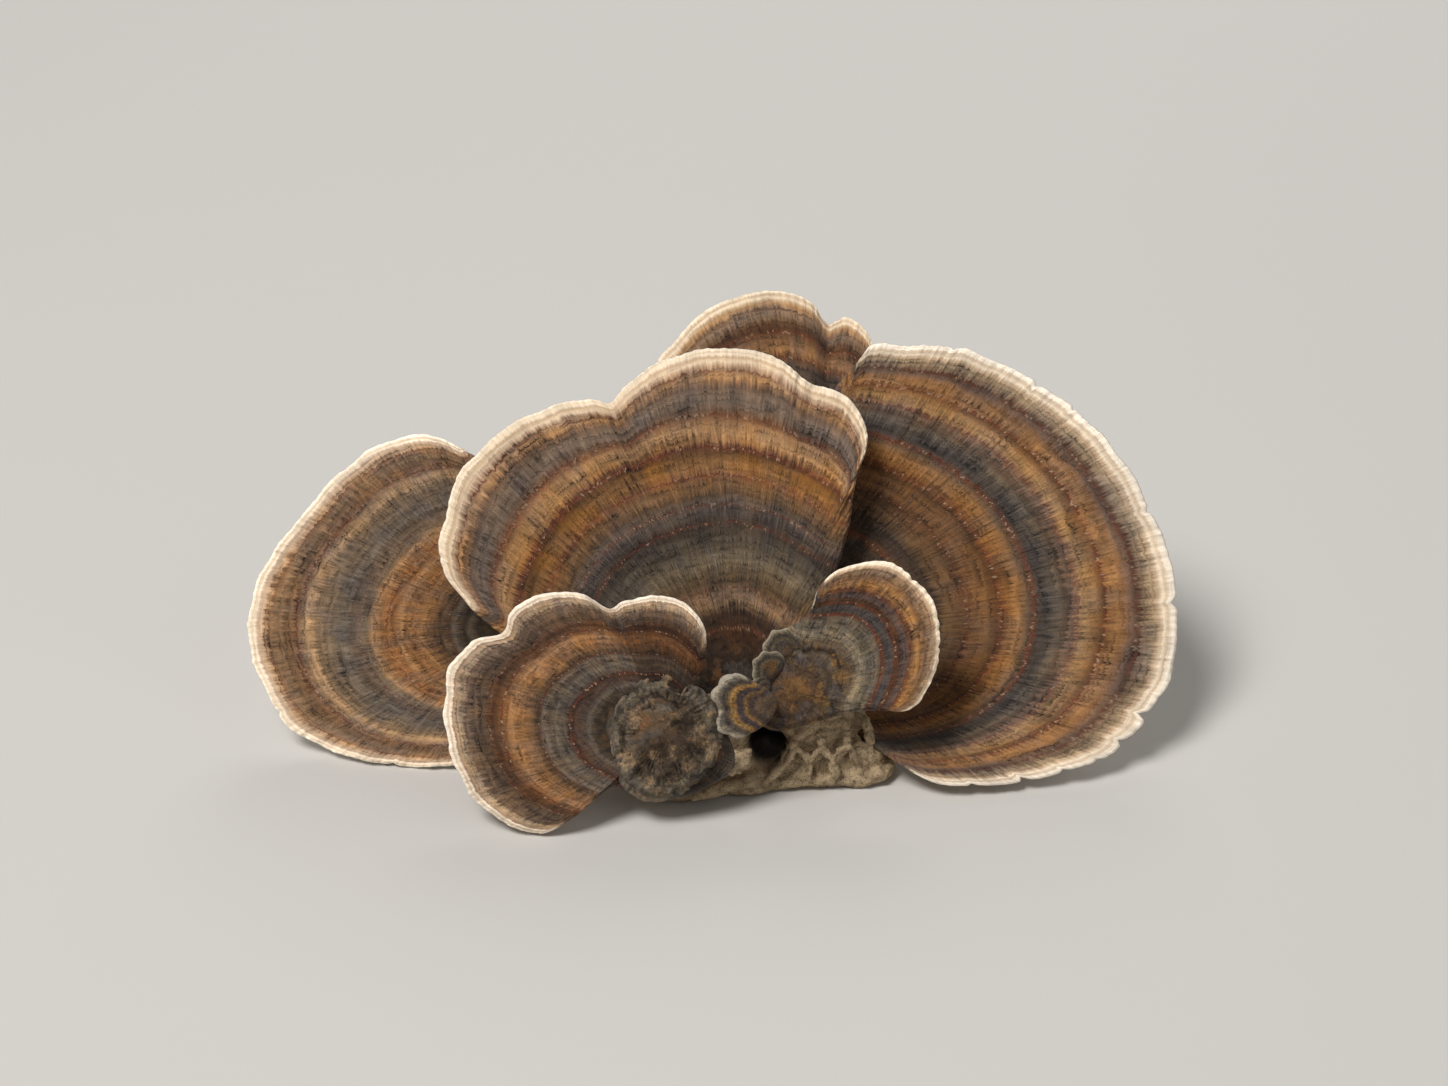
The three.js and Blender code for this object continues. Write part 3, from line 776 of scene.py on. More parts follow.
def growth_group():
    """Turns the plain ring position to one with wavering, feathered borders, and makes streaks."""
    tree, given, made = new_group(
        "Growth Rings",
        [("Ring", "value", 0.5), ("Compass", "vector", None), ("Seed", "value", 0.0),
         ("Waver", "value", 0.014), ("Feather", "value", 0.022), ("Streaks", "value", 40.0),
         ("Zones", "value", 30.0)],
        [("Ring", "value"), ("Streak", "value"), ("Hair", "value"), ("Broad", "value"),
         ("Band", "value"), ("Line", "value"), ("Zone", "value")])
    ring, compass = given.outputs["Ring"], given.outputs["Compass"]
    waver, feather = given.outputs["Waver"], given.outputs["Feather"]
    seed = along_z(tree, given.outputs["Seed"])
    depth = along_z(tree, ring)

    def streaks(count, length, detail=1.0):
        """Noise with count patches round the fan and length patches from middle to margin."""
        both = moved_by(tree, spread(tree, compass, count), scaled(tree, depth, (0, 0, length)))
        return noise(tree, moved_by(tree, both, seed), 1.0, detail)

    slow = streaks(2.2, 1.5, 2.0)
    middle = streaks(8.0, 7.0, 2.0)
    fine = streaks(given.outputs["Streaks"], 14.0, 2.0)
    hair = streaks(product(tree, given.outputs["Streaks"], 2.3), 26.0, 1.0)
    change = calc(tree, "ADD", swing(tree, slow, waver), swing(tree, fine, feather))
    lobed = swing(tree, middle, product(tree, waver, 0.5))
    change = calc(tree, "ADD", change, calc(tree, "ADD", lobed, swing(tree, hair, feather)))
    calm = ramp_step(tree, 1.0, 0.9, ring)  # the margin's own zones waver less
    change = product(tree, change, weighted(tree, 0.2, (calm, 0.8)))
    grown = calc(tree, "ADD", ring, change)
    wide = moved_by(tree, scaled(tree, compass, (3.5, 3.5, 0)), along_z(tree, grown))
    band = noise(tree, scaled(tree, wide, (1, 1, 62)), 1.0, 2.0, 0.6)
    line = noise(tree, scaled(tree, wide, (1.7, 1.7, 165)), 1.0, 1.0, 0.5)
    # each small zone is dark on its inner side, and ends sharply where the next begins
    uneven = noise(tree, scaled(tree, wide, (0.35, 0.35, 7)), 1.0, 2.0)
    phase = weighted(tree, product(tree, grown, given.outputs["Zones"]), (uneven, 7.0))
    faint = noise(tree, scaled(tree, wide, (1.3, 1.3, 9)), 1.0, 1.0)
    zone = swing(tree, calc(tree, "FRACT", phase), ramp_step(tree, 0.35, 0.62, faint))
    zone = calc(tree, "ADD", zone, 0.5)
    for title, value in (("Ring", grown), ("Streak", fine), ("Hair", hair), ("Broad", middle),
                         ("Band", band), ("Line", line), ("Zone", zone)):
        tree.links.new(value, made.inputs[title])
    return tree


def velvet_group():
    """The felt of fine hairs: streaked, ringed and mottled colour, painted shade in its fine step
    grooves, roughness and height.
    """
    tree, given, made = new_group(
        "Velvet",
        [("Color", "colour", None), ("Ring", "value", 0.5), ("Streak", "value", 0.5),
         ("Hair", "value", 0.5), ("Broad", "value", 0.5), ("Band", "value", 0.5),
         ("Line", "value", 0.5), ("Zone", "value", 0.5), ("Position", "vector", None),
         ("Strength", "value", 1.0), ("Mottled To", "value", 0.0),
         ("Patch A", "colour", linear(122, 80, 44)), ("Patch B", "colour", linear(84, 76, 72))],
        [("Color", "colour"), ("Roughness", "value"), ("Height", "value")])
    place = given.outputs["Position"]
    patchy = noise(tree, place, 430.0, 3.0, 0.62)
    old = calc(tree, "SUBTRACT", given.outputs["Mottled To"], given.outputs["Ring"])
    old = product(tree, ramp_step(tree, -0.03, 0.1, old), 0.75)
    patch_a = product(tree, ramp_step(tree, 0.52, 0.62, patchy), old)
    patch_b = product(tree, ramp_step(tree, 0.48, 0.38, patchy), old)
    ground = mix_colour(tree, patch_a, given.outputs["Color"], given.outputs["Patch A"])
    ground = mix_colour(tree, patch_b, ground, given.outputs["Patch B"])
    blotch = noise(tree, place, 150.0, 3.0, 0.6)
    grain = noise(tree, place, 3200.0, 2.0, 0.7)
    rim = ramp_step(tree, 0.93, 0.965, given.outputs["Ring"])

    # how light the felt is, round an average a little over 1
    parts = ((given.outputs["Streak"], 0.85), (given.outputs["Hair"], 0.75), (blotch, 0.65),
             (grain, 0.55), (given.outputs["Band"], 0.6), (given.outputs["Zone"], 0.34),
             (given.outputs["Broad"], 0.5))
    light = weighted(tree, -sum(weight for _, weight in parts) / 2, *parts)
    # painted shade in the fine grooves between growth steps, which the bump also sinks
    step_groove_shade = ramp_step(tree, 0.56, 0.7, given.outputs["Line"])
    light = weighted(tree, light, (step_groove_shade, -0.26))
    strength = product(tree, given.outputs["Strength"], weighted(tree, 1.0, (rim, -0.62)))
    light = weighted(tree, calc(tree, "ADD", product(tree, light, strength), 1.04), (rim, 0.15))
    bright = add_node(tree, "CombineColor", {0: light, 1: light, 2: light}).outputs[0]
    shaded = mix_colour(tree, 1.0, ground, bright, "MULTIPLY")

    # broad streaks are warmer or greyer by turns, but for the pale rim
    warm = mix_colour(tree, 1.0, shaded, (1.04, 1.0, 0.88, 1), "MULTIPLY")
    grey = add_node(tree, "HueSaturation", {"Saturation": 0.93, "Value": 0.98, "Color": shaded})
    share = ramp_step(tree, 0.38, 0.6, given.outputs["Broad"])
    toned = mix_colour(tree, share, grey.outputs[0], warm)
    tree.links.new(mix_colour(tree, rim, toned, shaded), made.inputs["Color"])
    tree.links.new(weighted(tree, 0.72, (grain, 0.2)), made.inputs["Roughness"])
    height = weighted(tree, product(tree, given.outputs["Hair"], 0.8),
                      (given.outputs["Streak"], 0.5), (grain, 0.35),
                      (given.outputs["Band"], 0.6), (given.outputs["Zone"], 0.8),
                      (product(tree, patchy, old), 5.0), (step_groove_shade, -0.35))
    tree.links.new(height, made.inputs["Height"])
    return tree


def broken_line_group():
    """A thin broken ring, rust with pale flecks, drawn over a colour."""
    tree, given, made = new_group(
        "Broken Ring Line",
        [("Color", "colour", None), ("Height", "value", 0.0), ("Ring", "value", 0.5),
         ("Compass", "vector", None), ("At", "value", 0.5), ("Width", "value", 0.004),
         ("Strength", "value", 1.0), ("Dashes", "value", 30.0)],
        [("Color", "colour"), ("Height", "value")])
    away = calc(tree, "ABSOLUTE", calc(tree, "SUBTRACT", given.outputs["Ring"],
                                       given.outputs["At"]))
    line = ramp_step(tree, given.outputs["Width"], 0.0, away)
    seed = along_z(tree, product(tree, given.outputs["At"], 91.0))
    turned = spread(tree, given.outputs["Compass"], given.outputs["Dashes"])
    moved = moved_by(tree, turned, seed)
    dash = ramp_step(tree, 0.36, 0.5, noise(tree, moved, 1.0, 1.0))
    fleck = ramp_step(tree, 0.56, 0.64, noise(tree, moved, 3.1, 1.0))
    drawn = product(tree, line, given.outputs["Strength"])
    rust = product(tree, product(tree, drawn, dash), 0.9)
    pale = product(tree, product(tree, drawn, fleck), 0.55)
    coloured = mix_colour(tree, rust, given.outputs["Color"], linear(112, 52, 34))
    coloured = mix_colour(tree, pale, coloured, linear(206, 180, 150))
    tree.links.new(coloured, made.inputs["Color"])
    height = weighted(tree, given.outputs["Height"], (calc(tree, "SUBTRACT", pale, rust), 0.8))
    tree.links.new(height, made.inputs["Height"])
    return tree


def pores_group():
    """The pale underside: fine round pores in cream and tan, in faint rings, with painted shade in
    each pore's hole.
    """
    tree, given, made = new_group(
        "Pored Underside",
        [("Position", "vector", None), ("Ring", "value", 0.5), ("Light", "colour", None),
         ("Dark", "colour", None), ("Pores", "value", 3400.0)],
        [("Color", "colour"), ("Height", "value")])
    cells = add_node(tree, "TexVoronoi", {"Vector": given.outputs["Position"],
                                          "Scale": given.outputs["Pores"]})
    hole = ramp_step(tree, 0.16, 0.46, cells.outputs["Distance"])
    cloud = noise(tree, given.outputs["Position"], 300.0, 4.0, 0.65)
    rings = add_node(tree, "CombineXYZ", {"X": given.outputs["Ring"]}).outputs[0]
    zone = noise(tree, rings, 26.0, 2.0, 0.6)
    tan = weighted(tree, 0.0, (ramp_step(tree, 0.4, 0.7, cloud), 0.3),
                   (ramp_step(tree, 0.4, 0.65, zone), 0.3))
    tone = mix_colour(tree, tan, given.outputs["Light"], given.outputs["Dark"])
    inner = ramp_step(tree, 0.8, 0.1, given.outputs["Ring"])
    tone = mix_colour(tree, product(tree, inner, 0.5), tone, given.outputs["Dark"])
    # each pore's hole is painted near black, as painted shade
    deep = mix_colour(tree, 0.5, given.outputs["Dark"], (0.06, 0.04, 0.025, 1))
    pore_shade = weighted(tree, 0.8, (hole, -0.8))
    tree.links.new(mix_colour(tree, pore_shade, tone, deep), made.inputs["Color"])
    tree.links.new(hole, made.inputs["Height"])
    return tree


def colour_ramp(tree, value, stops):
    """A colour ramp of any number of stops: one node holds at most 32, so long ones take two."""
    most = 30
    if len(stops) > most:
        cut = len(stops) // 2
        inner = colour_ramp(tree, value, stops[: cut + 1])
        outer = colour_ramp(tree, value, stops[cut:])
        past = calc(tree, "GREATER_THAN", value, stops[cut][0])
        return mix_colour(tree, past, inner, outer)
    node = add_node(tree, "ValToRGB", {"Fac": value})
    ramp = node.color_ramp
    ramp.elements[0].position, ramp.elements[0].color = stops[0][0], linear(*stops[0][1:])
    ramp.elements[1].position, ramp.elements[1].color = stops[-1][0], linear(*stops[-1][1:])
    for place, *colour in stops[1:-1]:
        ramp.elements.new(place).color = linear(*colour)
    return node.outputs[0]


def empty_material(name):
    """A material without nodes, and its tree."""
    material = bpy.data.materials.new(name)
    material.use_nodes = True
    material.node_tree.nodes.clear()
    return material, material.node_tree


def vertex_value(tree, name, output="Fac"):
    """What a mesh holds for each of its vertices under a name."""
    return add_node(tree, "Attribute", attribute_name=name).outputs[output]


def shared_groups():
    """The node groups that every material draws on, made once."""
    makers = {"Growth Rings": growth_group, "Velvet": velvet_group,
              "Broken Ring Line": broken_line_group, "Pored Underside": pores_group}
    return {name: bpy.data.node_groups.get(name) or make() for name, make in makers.items()}


def bracket_material(name, colours, seed, streaks, look):
    """The finish of one bracket: the rings of its kind above, pores below."""
    material, tree = empty_material(name)
    groups = shared_groups()
    ring, side, shade = (vertex_value(tree, field) for field in ("ring", "side", "shade"))
    compass = vertex_value(tree, "compass", "Vector")
    place = add_node(tree, "TexCoord").outputs["Object"]
    growth = use_group(tree, groups["Growth Rings"], {
        "Ring": ring, "Compass": compass, "Seed": seed, "Streaks": streaks,
        "Zones": streaks * 0.5}).outputs
    patches = PATCHES.get(colours, USUAL_PATCHES)
    felt = {title: growth[title] for title in ("Ring", "Streak", "Hair", "Broad", "Band", "Line",
                                               "Zone")}
    felt = use_group(tree, groups["Velvet"], {
        **felt, "Color": colour_ramp(tree, growth["Ring"], RING_COLOURS[colours]),
        "Position": place, "Strength": look.streak_strength,
        "Mottled To": MOTTLED.get(colours, USUAL_MOTTLED),
        "Patch A": linear(*patches[0]), "Patch B": linear(*patches[1])}).outputs
    colour, height = felt["Color"], felt["Height"]
    # the shade attribute darkens the colour here: painted shade along the creases, and the older
    # sector's own darker colour
    dark = mix_colour(tree, 1.0, colour, (0.42, 0.36, 0.32, 1), "MULTIPLY")
    colour = mix_colour(tree, shade, colour, dark)
    for at, width, strength in BROKEN_LINES.get(colours, []):
        drawn = use_group(tree, groups["Broken Ring Line"], {
            "Color": colour, "Height": height, "Ring": growth["Ring"], "Compass": compass,
            "At": at, "Width": width, "Strength": strength, "Dashes": streaks * 0.35}).outputs
        colour, height = drawn["Color"], drawn["Height"]
    pores = use_group(tree, groups["Pored Underside"], {
        "Position": place, "Ring": ring, "Light": tuple(look.underside) + (1,),
        "Dark": tuple(look.underside_shade) + (1,)}).outputs
    above = ramp_step(tree, -0.35, 0.15, side)
    colour = mix_colour(tree, above, pores["Color"], colour)
    height = add_node(tree, "Mix", {0: above, 2: pores["Height"], 3: height}).outputs[0]
    bump = add_node(tree, "Bump", {"Height": height, "Strength": BUMP_STRENGTH,
                                   "Distance": BUMP_DEPTH})
    shader = add_node(tree, "BsdfPrincipled", {
        "Base Color": colour, "Roughness": felt["Roughness"], "Normal": bump.outputs[0],
        "Specular IOR Level": 0.22, "Sheen Weight": 0.12, "Sheen Roughness": 0.45})
    add_node(tree, "OutputMaterial", {"Surface": shader.outputs[0]})
    return material


def make_fan(name, bracket, node, colours, context):
    """One fine fan with its material, standing for a CAD node."""
    streaks = STREAKS_PER_MM * bracket["full_reach"] + FEWEST_STREAKS
    seed = seed_of(name) % 97 + 0.3
    material = bracket_material(name + "_skin", colours, seed, streaks,
                                context.scene.mushroom_look)
    mesh = bracket_mesh(colours, bracket, in_mm(context.scene.mushroom_sizes))
    return new_piece(name, mesh, node, material)


def make_bracket(name, context):
    """The fine bracket of a CAD node."""
    piece = make_fan(name + "_flesh", BRACKETS[name], name, name, context)
    check_follows(piece, name)


# ---------------------------------------------------------------- base

# Chains of round swellings that are joined into the base: (points, radius at each end), mm
FRONT_WEBS = [
    ([(3.4, -14.8, 9.6), (3.1, -15.9, 6.8), (1.6, -16.4, 4.0), (-0.6, -16.6, 2.0)], 0.55, 0.7),
    ([(3.3, -15.8, 6.6), (4.9, -16.2, 4.9), (5.2, -16.3, 2.4)], 0.4, 0.5),
    ([(6.4, -15.0, 9.2), (6.7, -15.9, 6.8), (8.0, -16.1, 4.4), (8.6, -16.0, 1.8)], 0.6, 0.6),
    ([(6.7, -15.9, 6.9), (5.4, -16.3, 5.2), (4.9, -16.4, 4.6)], 0.35, 0.4),
    ([(9.6, -14.0, 9.2), (10.0, -14.9, 6.6), (11.2, -15.0, 4.0), (11.6, -15.0, 1.6)], 0.5, 0.6),
    ([(10.0, -14.8, 6.6), (8.7, -15.8, 5.6), (8.1, -16.0, 4.8)], 0.35, 0.4),
    ([(12.2, -12.4, 8.8), (12.9, -13.2, 6.0), (13.8, -13.6, 3.0)], 0.6, 0.7),
    ([(-1.6, -16.9, 2.8), (-4.6, -18.6, 2.6), (-9.5, -19.6, 1.8)], 0.7, 0.9),
]
TORN_LUMPS = [
    ((-4.5, -20.6, 8.4), 1.15), ((-3.3, -20.7, 7.4), 0.9), ((-2.9, -20.4, 8.8), 0.75),
    ((-5.2, -21.0, 6.9), 1.0), ((-4.0, -20.2, 6.3), 0.85), ((-6.3, -21.4, 7.8), 1.1),
    ((-6.6, -20.6, 6.0), 1.2),
]
HOLLOW = {"centre": (-0.2, -15.0, 5.8), "half": (3.3, 5, 3.0), "depth": 5}
LIP_ANGLES = (-138, -24)  # where round the cut the base's edge swells to a lip, in degrees
LIP_STEPS = 360  # points round the whole cut, of which every second one carries a ball
BALL_OVERLAP = 0.45  # distance between a chain's balls, as a share of the radius
VOXEL = 0.3  # mm
SOFTENED = 3  # rounds of smoothing once the parts are joined


def add_ball(mesh, place, radius):
    """One round swelling, mm."""
    where = Matrix.Translation(Vector(place) * MM)
    bmesh.ops.create_icosphere(mesh, subdivisions=2, radius=radius * MM, matrix=where)


def add_chain(mesh, points, first, last):
    """A run of overlapping balls along a bent line, mm."""
    corners = np.array(points, float)
    run = np.concatenate([[0], np.cumsum(np.linalg.norm(np.diff(corners, axis=0), axis=1))])
    count = int(run[-1] / (BALL_OVERLAP * min(first, last))) + 1
    for share in np.linspace(0, 1, count):
        place = [np.interp(share * run[-1], run, corners[:, k]) for k in range(3)]
        wobble = 1 + 0.14 * math.sin(9 * share + 3 * points[0][0])
        add_ball(mesh, place, (first + (last - first) * share) * wobble)


def joined_base():
    """The CAD base with its webs, lumps and lip, joined into one skin of small faces."""
    mesh = bmesh.new()
    mesh.from_mesh(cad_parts["base"].data)
    bmesh.ops.remove_doubles(mesh, verts=mesh.verts, dist=0.002 * MM)
    for points, first, last in FRONT_WEBS:
        add_chain(mesh, points, first, last)
    for place, radius in TORN_LUMPS:
        add_ball(mesh, place, radius)
    line, _ = closed_line(FOOT, LIP_STEPS)
    angle = np.degrees(np.arctan2(line[:, 1], line[:, 0]))
    lip = line[(angle > LIP_ANGLES[0]) & (angle < LIP_ANGLES[1])]
    for step, (x, y, _) in enumerate(lip[::2]):
        rise = 1.25 + 0.2 * math.sin(0.35 * step) + 0.12 * math.sin(0.83 * step)
        add_ball(mesh, (x, y, rise), 0.95 + 0.12 * math.sin(0.5 * step + 1))
    rough = bpy.data.meshes.new("base_rough")
    mesh.to_mesh(rough)
    mesh.free()
    holder = bpy.data.objects.new("base_rough", rough)
    bpy.context.scene.collection.objects.link(holder)
    remesh = holder.modifiers.new("join", "REMESH")
    remesh.mode, remesh.voxel_size = "VOXEL", VOXEL * MM
    soften = holder.modifiers.new("soften", "SMOOTH")
    soften.iterations, soften.factor = SOFTENED, 0.5
    seen = holder.evaluated_get(bpy.context.evaluated_depsgraph_get())
    fine = bpy.data.meshes.new_from_object(seen)
    bpy.data.objects.remove(holder)
    bpy.data.meshes.remove(rough)
    return fine


def base_mesh(sizes):
    """The base: joined, hollowed in front, wrinkled all over and flat beneath."""
    mesh = joined_base()
    count = len(mesh.vertices)
    flat = np.empty(3 * count)
    mesh.vertices.foreach_get("co", flat)
    points = flat.reshape(-1, 3) / MM
    normals = np.empty(3 * count, np.float32)
    mesh.vertices.foreach_get("normal", normals)
    normals = normals.reshape(-1, 3)
    above = smooth_step(0.15, 1.2, points[:, 2])
    # the sunk pit between the webs, which the material fills with painted shade
    apart = np.linalg.norm((points - HOLLOW["centre"]) / HOLLOW["half"], axis=1)
    sink = HOLLOW["depth"] * np.clip(1 - apart**2, 0, 1) ** 1.5 * (normals[:, 1] < 0.2)
    moved = points + np.stack([0 * sink, sink, 0 * sink], axis=1) * above[:, None]
    # wrinkles that run down the sides, and finer grain
    outer = smooth_step(3, 9, np.hypot(points[:, 0], points[:, 1]))  # none near the middle
    across = np.arctan2(points[:, 1], points[:, 0]) * 10
    warp = 1.6 * field(points, 4, 9, 5) + 0.9 * field(points, 2, 4, 6)
    valley = np.abs(np.sin(0.8 * across + 1.3 * warp))
    fold = (1 - valley**0.7) * outer
    lift = sizes.base_fold * (0.35 - fold) + 0.09 * field(points, 1.2, 2.6, 7)
    lift += 0.04 * field(points, 0.7, 1.2, 8)
    moved += normals * (lift * outer * above)[:, None]
    moved[:, 2] = np.maximum(moved[:, 2], 0)
    mesh.vertices.foreach_set("co", (moved * MM).ravel())
    mesh.polygons.foreach_set("use_smooth", [True] * len(mesh.polygons))
    # how far into the pit a point lies: the mask of its painted shade
    deep = np.clip(sink / HOLLOW["depth"], 0, 1)
    front = 0.25 + 0.75 * smooth_step(-3, -11, points[:, 1])  # the painted shade in the folds is stronger in front
    # painted shade in the folds' valleys, which the material reads as the fold attribute
    add_attribute(mesh, "fold", "FLOAT", np.clip(0.9 * fold**1.5, 0, 1) * front)
    add_attribute(mesh, "hollow", "FLOAT", smooth_step(0.08, 0.4, deep))
    mesh.update()
    return mesh


def base_material(look):
    """Pale tough tissue with fine pores, and painted shade in its folds and in the sunk pit
    between the webs.
    """
    material, tree = empty_material("base_tissue")
    place = add_node(tree, "TexCoord").outputs["Object"]
    fold, hollow = vertex_value(tree, "fold"), vertex_value(tree, "hollow")
    pores = use_group(tree, shared_groups()["Pored Underside"], {
        "Position": place, "Ring": 0.8, "Light": tuple(look.base) + (1,),
        "Dark": tuple(look.base_shade) + (1,)}).outputs
    stain = noise(tree, place, 420.0, 4.0, 0.65)
    stained = product(tree, ramp_step(tree, 0.48, 0.75, stain), 0.35)
    colour = mix_colour(tree, stained, pores["Color"], linear(82, 62, 44))
    # painted shade in the folds' valleys
    colour = mix_colour(tree, product(tree, fold, 0.7), colour, linear(52, 38, 26))
    # painted shade, near black, in the sunk pit between the webs
    colour = mix_colour(tree, hollow, colour, linear(22, 16, 12))
    height = weighted(tree, noise(tree, place, 1400.0, 3.0, 0.6), (pores["Height"], 0.5))
    bump = add_node(tree, "Bump", {"Height": height, "Strength": BUMP_STRENGTH,
                                   "Distance": BUMP_DEPTH})
    shader = add_node(tree, "BsdfPrincipled", {
        "Base Color": colour, "Roughness": 0.85, "Normal": bump.outputs[0],
        "Specular IOR Level": 0.25})
    add_node(tree, "OutputMaterial", {"Surface": shader.outputs[0]})
    return material


def make_base(context):
    """The fine base in place of its CAD node."""
    mesh = base_mesh(in_mm(context.scene.mushroom_sizes))
    material = base_material(context.scene.mushroom_look)
    new_piece("base_tissue", mesh, "base", material)


# ---------------------------------------------------------------- stage


FLOOR_REACH = 6.0  # metres from the middle to each side of the floor
FLOOR_GAP = 0.02 * MM  # the floor lies this far below the cut, so that the two never flicker
KEY_OFFSET = (-0.25, -0.24, 0.55)
# (name, kind, place from the aim in metres, power's name on the stage, size, colour). An area
# lamp's size is its side in metres, a sun's the angle that it fills, in degrees.
LAMPS = [
    ("key_lamp", "AREA", KEY_OFFSET, "key_power", 0.24, (1.0, 0.97, 0.93)),
    ("sun_lamp", "SUN", KEY_OFFSET, "sun_strength", 20, (1, 1, 1)),
    ("fill_lamp", "AREA", (0.55, -0.45, 0.35), "fill_power", 0.5, (1, 1, 1)),
    ("back_lamp", "AREA", (0.1, 0.6, 0.5), "back_power", 0.4, (1, 1, 1)),
]
SENSOR_WIDTH = 36  # mm


def aimed(name, data, offset, aim):
    """A lamp or camera that looks at a point from an offset beside it."""
    made = bpy.data.objects.new(name, data)
    made.location = aim + Vector(offset)
    made.rotation_euler = (-Vector(offset)).to_track_quat("-Z", "Y").to_euler()
    bpy.context.scene.collection.objects.link(made)
    return made


def make_floor(colour):
    """The plain pale floor."""
    mesh = bpy.data.meshes.new("floor")
    corners = [(-1, -1), (1, -1), (1, 1), (-1, 1)]
    mesh.from_pydata([(FLOOR_REACH * x, FLOOR_REACH * y, 0) for x, y in corners], [],
                     [(0, 1, 2, 3)])
    floor = bpy.data.objects.new("floor", mesh)
    floor.location.z = -FLOOR_GAP
    material, tree = empty_material("floor_paint")
    shader = add_node(tree, "BsdfPrincipled", {
        "Base Color": tuple(colour) + (1,), "Roughness": 0.9, "Specular IOR Level": 0.1})
    add_node(tree, "OutputMaterial", {"Surface": shader.outputs[0]})
    mesh.materials.append(material)
    bpy.context.scene.collection.objects.link(floor)


def make_stage(context):
    """Pale floor, soft lamps, plain world and the camera."""
    scene, stage = context.scene, context.scene.mushroom_stage
    make_floor(stage.floor)
    aim = Vector(stage.aim)
    for name, kind, offset, power, size, colour in LAMPS:
        lamp = bpy.data.lights.new(name, kind)
        lamp.energy, lamp.color = getattr(stage, power), colour
        if kind == "SUN":
            lamp.angle = math.radians(size)
        else:
            lamp.shape, lamp.size = "SQUARE", size
        aimed(name, lamp, offset, aim)
    world = bpy.data.worlds.new("studio")
    world.use_nodes = True
    backdrop = world.node_tree.nodes["Background"]
    backdrop.inputs["Color"].default_value = (1, 1, 1, 1)
    backdrop.inputs["Strength"].default_value = stage.world_strength
    scene.world = world
    scene.view_settings.view_transform = "Standard"

    lens = bpy.data.cameras.new("camera")
    lens.lens, lens.sensor_width, lens.clip_start = stage.focal_length, SENSOR_WIDTH, 0.01
    rise = stage.elevation
    away = Vector((0, -math.cos(rise), math.sin(rise))) * stage.distance
    scene.camera = aimed("camera", lens, away, aim)


# ---------------------------------------------------------------- the add-on


def size_property(title, description, millimetres):
    """A length that the panel shows, given in mm."""
    return FloatProperty(name=title, description=description, default=millimetres * MM,
                         min=0, precision=5, unit="LENGTH")


def colour_property(title, description, colour):
    """A colour that the panel shows."""
    return FloatVectorProperty(name=title, description=description, default=colour,
                               subtype="COLOR", size=3, min=0, max=1)


def power_property(title, description, power):
    """A lamp's power, in watts."""
    return FloatProperty(name=title, description=description, default=power, min=0,
                         subtype="POWER", unit="POWER")


class MushroomSizes(bpy.types.PropertyGroup):
    """How strongly the brackets and the base are waved and folded."""

    scallop: size_property("Scallop", "In and out of the margin", 0.2)
    crimp: size_property("Crimp", "Small teeth of the margin", 0.045)
    wave: size_property("Wave", "Up and down of the margin", 0.5)
    fold: size_property("Fold", "Height of the radial folds", 0.12)
    growth_step: size_property("Growth step", "Height of the rings", 0.1)
    margin_fold: size_property("Margin fold", "Height of the margin's pleats", 0.12)
    base_fold: size_property("Base fold", "Depth of the base's wrinkles", 0.22)


def in_mm(sizes):
    """The panel's sizes in mm."""
    return SimpleNamespace(**{name: getattr(sizes, name) / MM for name in sizes.__annotations__})


class MushroomLook(bpy.types.PropertyGroup):
    """Colours that all the brackets share, and the base's."""

    underside: colour_property("Underside", "Light pored flesh", (0.8, 0.7, 0.54))
    underside_shade: colour_property("Underside shade", "Darker flesh", (0.44, 0.32, 0.2))
    base: colour_property("Base", "Light parts of the base", (0.48, 0.36, 0.22))
    base_shade: colour_property("Base shade", "Dark parts of the base", (0.24, 0.17, 0.1))
    streak_strength: FloatProperty(name="Streaks", description="Contrast of the radial hairs",
                                   default=1.6, min=0)


class MushroomStage(bpy.types.PropertyGroup):
    """Floor, lamps and camera."""

    floor: colour_property("Floor", "Colour of the floor", (0.62, 0.6, 0.57))
    key_power: power_property("Key", "Power of the main lamp", 1.7)
    sun_strength: FloatProperty(name="Sun", description="Even light from the main lamp's side",
                                default=1.5, min=0)
    fill_power: power_property("Fill", "Power of the soft lamp", 0.45)
    back_power: power_property("Back", "Power of the lamp behind", 1.5)
    world_strength: FloatProperty(name="World", description="Even light from all round",
                                  default=0.15, min=0)
    aim: FloatVectorProperty(name="Aim", description="What the camera looks at", size=3,
                             subtype="TRANSLATION", unit="LENGTH", precision=4,
                             default=(-5.9 * MM, -0.7 * MM, 28.1 * MM))
    elevation: FloatProperty(name="Elevation", description="The camera's angle above level",
                             default=math.radians(30), subtype="ANGLE", unit="ROTATION")
    distance: FloatProperty(name="Distance", description="From the camera to its aim",
                            default=0.441, min=0, unit="LENGTH")
    focal_length: FloatProperty(name="Focal length", description="Of the camera's lens, in mm",
                                default=85, min=1, unit="CAMERA")


LARGE = ("middle_cap", "right_cap", "left_cap", "back_cap")
FRONT = ("front_left_cap", "front_right_cap")


class MUSHROOM_OT_large_brackets(bpy.types.Operator):
    """Make the four large brackets"""

    bl_idname = "mushroom.large_brackets"
    bl_label = "Large Brackets"

    def execute(self, context):
        for name in LARGE:
            make_bracket(name, context)
        return {"FINISHED"}


class MUSHROOM_OT_front_brackets(bpy.types.Operator):
    """Make the two brackets in front"""

    bl_idname = "mushroom.front_brackets"
    bl_label = "Front Brackets"

    def execute(self, context):
        for name in FRONT:
            make_bracket(name, context)
        make_fan("front_left_knob", KNOB, "front_left_cap", "knob", context)
        return {"FINISHED"}


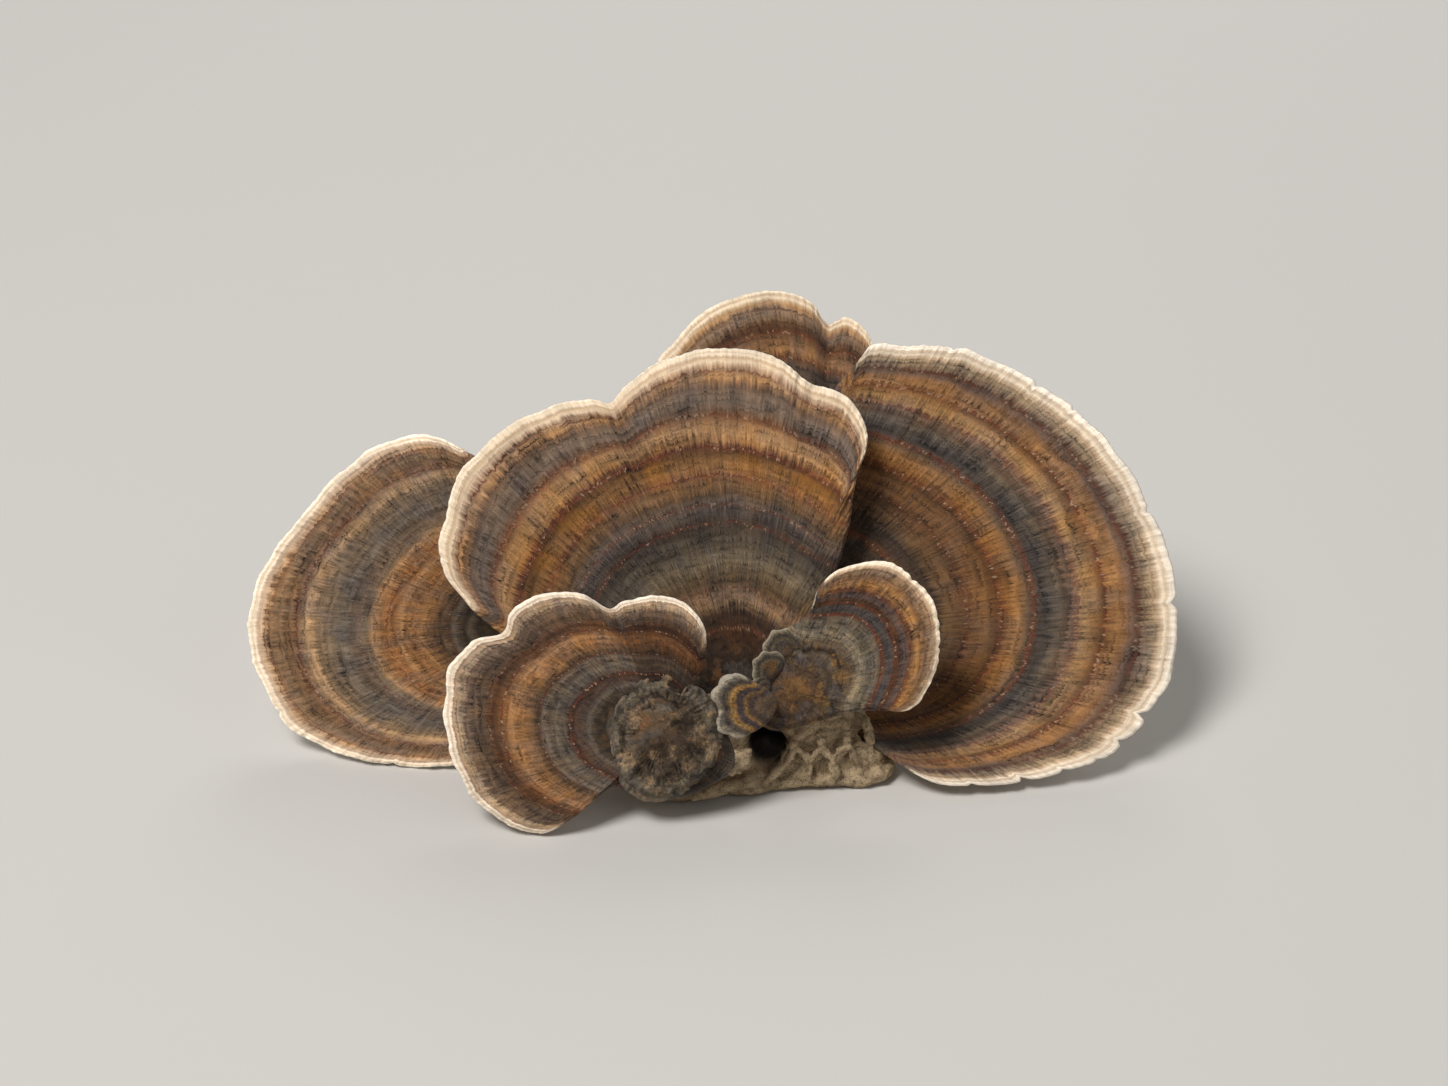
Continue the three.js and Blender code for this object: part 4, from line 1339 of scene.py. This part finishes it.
class MUSHROOM_OT_young_caps(bpy.types.Operator):
    """Make the bud and the three tiny caps"""

    bl_idname = "mushroom.young_caps"
    bl_label = "Bud and Young Caps"

    def execute(self, context):
        make_fan("bud_flesh", BRACKETS["bud_cap"], "bud_cap", "bud_cap", context)
        tail = BRACKETS["front_right_cap"]
        for name, node, angle, away, height, reach in LOBES:
            turn = math.radians(angle)
            root = np.array([[away * math.cos(turn), away * math.sin(turn), height]])
            lobe = {
                **LOBE, "middle": tuple(placed(tail, root)[0] / MM), "full_reach": reach,
                "tilt": tail["tilt"], "turn": tail["turn"],
                "arc": (angle - LOBE_SPREAD, angle + LOBE_SPREAD),
                "margin": [(way + angle - 90, reach * share, reach * rise)
                           for way, share, rise in LOBE_MARGIN],
            }
            make_fan(name, lobe, node, "young_cap", context)
        return {"FINISHED"}


class MUSHROOM_OT_base(bpy.types.Operator):
    """Make the base that all the brackets grow from"""

    bl_idname = "mushroom.base"
    bl_label = "Base"

    def execute(self, context):
        make_base(context)
        return {"FINISHED"}


class MUSHROOM_OT_stage(bpy.types.Operator):
    """Make the floor, the lamps and the camera"""

    bl_idname = "mushroom.stage"
    bl_label = "Stage"

    def execute(self, context):
        make_stage(context)
        return {"FINISHED"}


OPERATORS = (MUSHROOM_OT_stage, MUSHROOM_OT_large_brackets, MUSHROOM_OT_front_brackets,
             MUSHROOM_OT_young_caps, MUSHROOM_OT_base)


class MUSHROOM_PT_panel(bpy.types.Panel):
    """Sizes, colours and buttons of the mushroom"""

    bl_idname = "MUSHROOM_PT_panel"
    bl_label = "Turkey Tail Mushroom"
    bl_space_type = "VIEW_3D"
    bl_region_type = "UI"
    bl_category = "Mushroom"

    def draw(self, context):
        scene = context.scene
        for group in (scene.mushroom_sizes, scene.mushroom_look, scene.mushroom_stage):
            box = self.layout.box()
            for name in group.__annotations__:
                box.prop(group, name)
        for operator in OPERATORS:
            self.layout.operator(operator.bl_idname)


GROUPS = {"mushroom_sizes": MushroomSizes, "mushroom_look": MushroomLook,
          "mushroom_stage": MushroomStage}


def register():
    """Makes the classes and their properties known to Blender."""
    for made in (*GROUPS.values(), *OPERATORS, MUSHROOM_PT_panel):
        bpy.utils.register_class(made)
    for name, group in GROUPS.items():
        setattr(bpy.types.Scene, name, PointerProperty(type=group))


def unregister():
    """Takes them away again."""
    for name in GROUPS:
        delattr(bpy.types.Scene, name)
    for made in reversed((*GROUPS.values(), *OPERATORS, MUSHROOM_PT_panel)):
        bpy.utils.unregister_class(made)


def main():
    """Builds the stage and the mushroom."""
    register()
    bpy.ops.mushroom.stage()
    bpy.ops.mushroom.large_brackets()
    bpy.ops.mushroom.front_brackets()
    bpy.ops.mushroom.young_caps()
    bpy.ops.mushroom.base()


if __name__ == "__main__":
    main()
